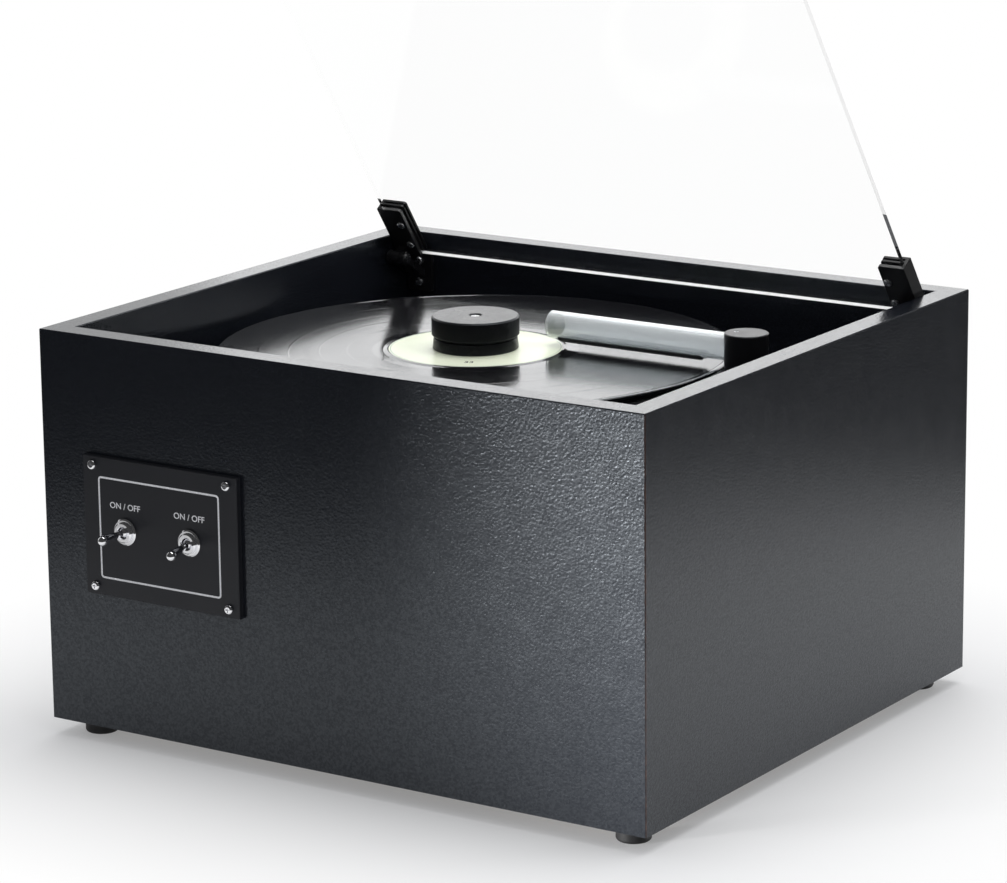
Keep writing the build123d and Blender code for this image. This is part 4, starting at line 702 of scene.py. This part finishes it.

# ---- the arm's spring, on its own mesh; the real one shortens as the arm drops, this one keeps its shape ----

coil = add("lift_coil", nodes["arm_spring"].data.copy())
coil.matrix_world = nodes["arm_spring"].matrix_world.copy()
bpy.context.view_layer.update()
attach(coil, "arm_turn")
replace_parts(coil, "arm_spring")
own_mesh(coil)

# ---- hose and cables inside ----


def smooth_line(name, points, resolution):
    """A curve that follows its control points and ends on the first and the last."""
    curve = bpy.data.curves.new(name, "CURVE")
    curve.dimensions = "3D"
    line = curve.splines.new("NURBS")
    line.points.add(len(points) - 1)
    for target, point in zip(line.points, points):
        target.co = (*point, 1.0)
    line.order_u = 3
    line.use_endpoint_u = True
    line.resolution_u = resolution
    return curve


def lead(name, points, body):
    """An insulated lead along a route."""
    curve = smooth_line(name, points, 16)
    curve.bevel_depth = LEAD_RADIUS
    curve.bevel_resolution = 8
    curve.use_fill_caps = True
    curve.materials.append(paint["cable_sheath"])
    piece = add(name, curve)
    bpy.context.view_layer.update()
    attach(piece, body)
    return piece


cables = {
    "supply_cable": [
        (-0.014, 0.150, 0.064), (-0.014, 0.130, 0.064), (-0.014, 0.130, 0.0255),
        (-0.014, -0.100, 0.0255), (-0.13975, -0.100, 0.0255), (-0.13975, -0.100, 0.1403),
        (-0.13975, -0.153, 0.1403),
    ],
    "link_cable": [
        (-0.13975, -0.153, 0.1303), (-0.13975, -0.130, 0.1303), (-0.09445, -0.130, 0.1303),
        (-0.09445, -0.153, 0.1303),
    ],
    "motor_cable": [
        (-0.13975, -0.153, 0.1203), (-0.13975, -0.120, 0.1203), (-0.1171, -0.120, 0.1203),
        (-0.1171, -0.120, 0.098), (0.0125, -0.120, 0.098), (0.0125, -0.032, 0.098),
    ],
    "vacuum_cable": [
        (-0.09445, -0.153, 0.1203), (-0.09445, -0.108, 0.1203), (-0.09445, -0.108, 0.050),
        (-0.108, -0.108, 0.050), (-0.108, 0.032, 0.050),
    ],
}
for number, (name, route) in enumerate(cables.items()):
    made = lead(name, route, "cabinet")
    if number == 0:
        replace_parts(made, "wiring")


def hose_tube(name, points, outer, inner, material, body, around=40):
    """A hose with its bore, a little fuller where its ends are pushed over their spigots."""
    route = mesh_of(smooth_line(name + "_route", points, 12))
    places = [v.co.copy() for v in route.vertices]
    bpy.data.meshes.remove(route)
    total = sum((b - a).length for a, b in zip(places, places[1:]))
    work = bmesh.new()
    rows = []
    side = Vector((0, 1, 0))
    gone = 0.0
    for k, place in enumerate(places):
        if k:
            gone += (place - places[k - 1]).length
        along = (places[min(k + 1, len(places) - 1)] - places[max(k - 1, 0)]).normalized()
        side = (side - along * side.dot(along)).normalized()
        other = along.cross(side)
        fuller = 1.0 if min(gone, total - gone) < SPIGOT_REACH else 0.985
        outside, bore = [], []
        for n in range(around):
            angle = 2 * math.pi * n / around
            aim = math.cos(angle) * side + math.sin(angle) * other
            outside.append(work.verts.new(place + aim * outer * fuller))
            bore.append(work.verts.new(place + aim * inner))
        rows.append((outside, bore))
    for a, b in zip(rows, rows[1:]):
        bridge(work, a[0], b[0])
        bridge(work, a[1], b[1])
    for outside, bore in (rows[0], rows[-1]):
        bridge(work, outside, bore)
    return sharpen(piece_from(name, mesh_from(name, work), material, body))


hose_route = [
    (0.092, 0.095, 0.1247), (0.092, 0.095, 0.126), (0.092, 0.095, 0.152), (0.050, 0.0927, 0.152),
    (-0.008, 0.0895, 0.152), (-0.066, 0.0863, 0.152), (-0.108, 0.084, 0.152),
    (-0.108, 0.084, 0.129), (-0.108, 0.084, 0.1271),
]
hose = hose_tube(
    "suction_hose", hose_route, HOSE_OUTER, HOSE_BORE, paint["hose_rubber"], "cabinet"
)
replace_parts(hose, "vacuum_hose")

# ---- floor, light and camera ----

SHADOW_REACH = 0.2  # the floor turns from its own colour to plain white over this
FAR_FLOOR = (0.32, 0.6)  # where the floor's painted reflection goes from white to the dim room


def floor_material():
    """Pale near the object, where its shadow lies; further off it is the backdrop's white.

    In reflections the floor glows as a painted reflection: white behind the object and near it, and a
    painted dim room on the other sides.
    """
    s = Shade("pale floor")
    speck = s.noise(14, 4, 0.5)
    s.set(Base_Color=s.mix(speck, (0.93, 0.93, 0.94), (0.95, 0.95, 0.96)), Roughness=0.6)
    s.set(Specular_IOR_Level=0.1)
    px, py, _ = s.parts(s.node("ShaderNodeNewGeometry").outputs["Position"])
    beside = s.larger(s.minus(s.absolute(px), HALF_WIDTH), 0.0)
    before = s.larger(s.minus(s.absolute(py), HALF_DEPTH), 0.0)
    away = s.hypotenuse(beside, before)
    near_white = s.remap(away, 0.0, SHADOW_REACH, 0.25, 1.0)
    far = s.remap(away, *FAR_FLOOR, 0.0, 1.0)
    toward = s.plus(s.times(px, BACKDROP.x), s.times(py, BACKDROP.y))
    facing = s.math("DIVIDE", toward, s.hypotenuse(px, py))
    # painted shade: away from the backdrop, the floor's glow in reflections dims to the room's level
    painted_room_shade = s.remap(facing, *BACKDROP_EDGE, 1 - ROOM, 0.0)
    seen, glossy = s.rays()
    painted_reflection_glow = s.times(glossy, s.minus(1.0, s.times(far, painted_room_shade)))
    # painted reflection: the floor glows white to the camera and, dimmed as above, in reflections
    glow = s.node("ShaderNodeEmission")
    s.put(glow.inputs["Strength"], s.larger(seen, painted_reflection_glow))
    either = s.times(near_white, s.larger(seen, glossy))
    s.blend(either, s.surface.outputs[0], glow.outputs[0])
    return s.material


def softbox(name, place, aim, width, height, power, spread=180.0):
    """A soft lamp; a small spread, in degrees, is that of a grid before it."""
    data = bpy.data.lights.new(name, "AREA")
    data.shape = "RECTANGLE"
    data.size = width
    data.size_y = height
    data.energy = power
    data.spread = math.radians(spread)
    lamp = add(name, data)
    lamp.location = place
    lamp.rotation_euler = (Vector(aim) - Vector(place)).to_track_quat("-Z", "Y").to_euler()
    lamp.visible_camera = False


def studio():
    """The world: white to the camera, backdrop and dim room in reflections, even light else."""
    world = bpy.data.worlds.new("studio")
    bpy.context.scene.world = world
    sky = Tree(world, "ShaderNodeOutputWorld")
    dim = sky.fill(sky.node("ShaderNodeBackground"), (0.95, 0.97, 1.0), 0.45)
    facing = sky.along(sky.node("ShaderNodeTexCoord").outputs["Generated"], BACKDROP)
    behind = sky.remap(facing, *BACKDROP_EDGE, ROOM, 1.0)
    seen, glossy = sky.rays()
    strength = sky.larger(seen, sky.times(glossy, behind))
    white = sky.fill(sky.node("ShaderNodeBackground"), (1.0, 1.0, 1.0), strength)
    sky.blend(sky.larger(seen, glossy), dim.outputs[0], white.outputs[0])


def photo_camera():
    """The photo's view, solved from the cabinet's corners and the record's ellipse."""
    azimuth, elevation, roll = 0.5854961508853888, 0.24355764272098662, -0.011023258239420198
    focal_pixels, photo_pixels = 4164.145, 1007
    ahead = Vector(
        (
            -math.sin(azimuth) * math.cos(elevation),
            math.cos(azimuth) * math.cos(elevation),
            -math.sin(elevation),
        )
    )
    right = ahead.cross(Vector((0, 0, 1))).normalized()
    up = right.cross(ahead)
    right, up = (
        math.cos(roll) * right + math.sin(roll) * up,
        -math.sin(roll) * right + math.cos(roll) * up,
    )
    data = bpy.data.cameras.new("camera")
    data.sensor_width = 36.0
    data.lens = focal_pixels / photo_pixels * data.sensor_width
    data.clip_start = 0.05
    data.clip_end = 50.0
    camera = add("camera", data)
    turn = Matrix((right, up, -ahead)).transposed()
    camera.matrix_world = Matrix.Translation((1.288935, -1.953645, 0.742884)) @ turn.to_4x4()
    bpy.context.scene.camera = camera


bpy.ops.mesh.primitive_plane_add(size=14, location=(0, 3, 0))
floor = bpy.context.object
floor.name = "floor"
floor.data.materials.append(floor_material())

softbox("top_box", (0.1, 0.3, 1.9), (0, 0, 0.1), 1.8, 1.4, 18)
softbox("front_box", (-0.4, -1.12, 0.09), (0.43, -0.18, 0.08), 0.3, 0.16, 1.4, 21.5)
softbox("side_box", (0.95, 1.2, 0.07), (0.2, 0.11, 0.03), 0.6, 0.14, 0.15, 18.0)
softbox("back_box", (-0.6, 1.7, 0.9), (0, 0, 0.22), 1.6, 0.8, 4.8)
studio()
photo_camera()
bpy.context.scene.view_settings.view_transform = "Standard"
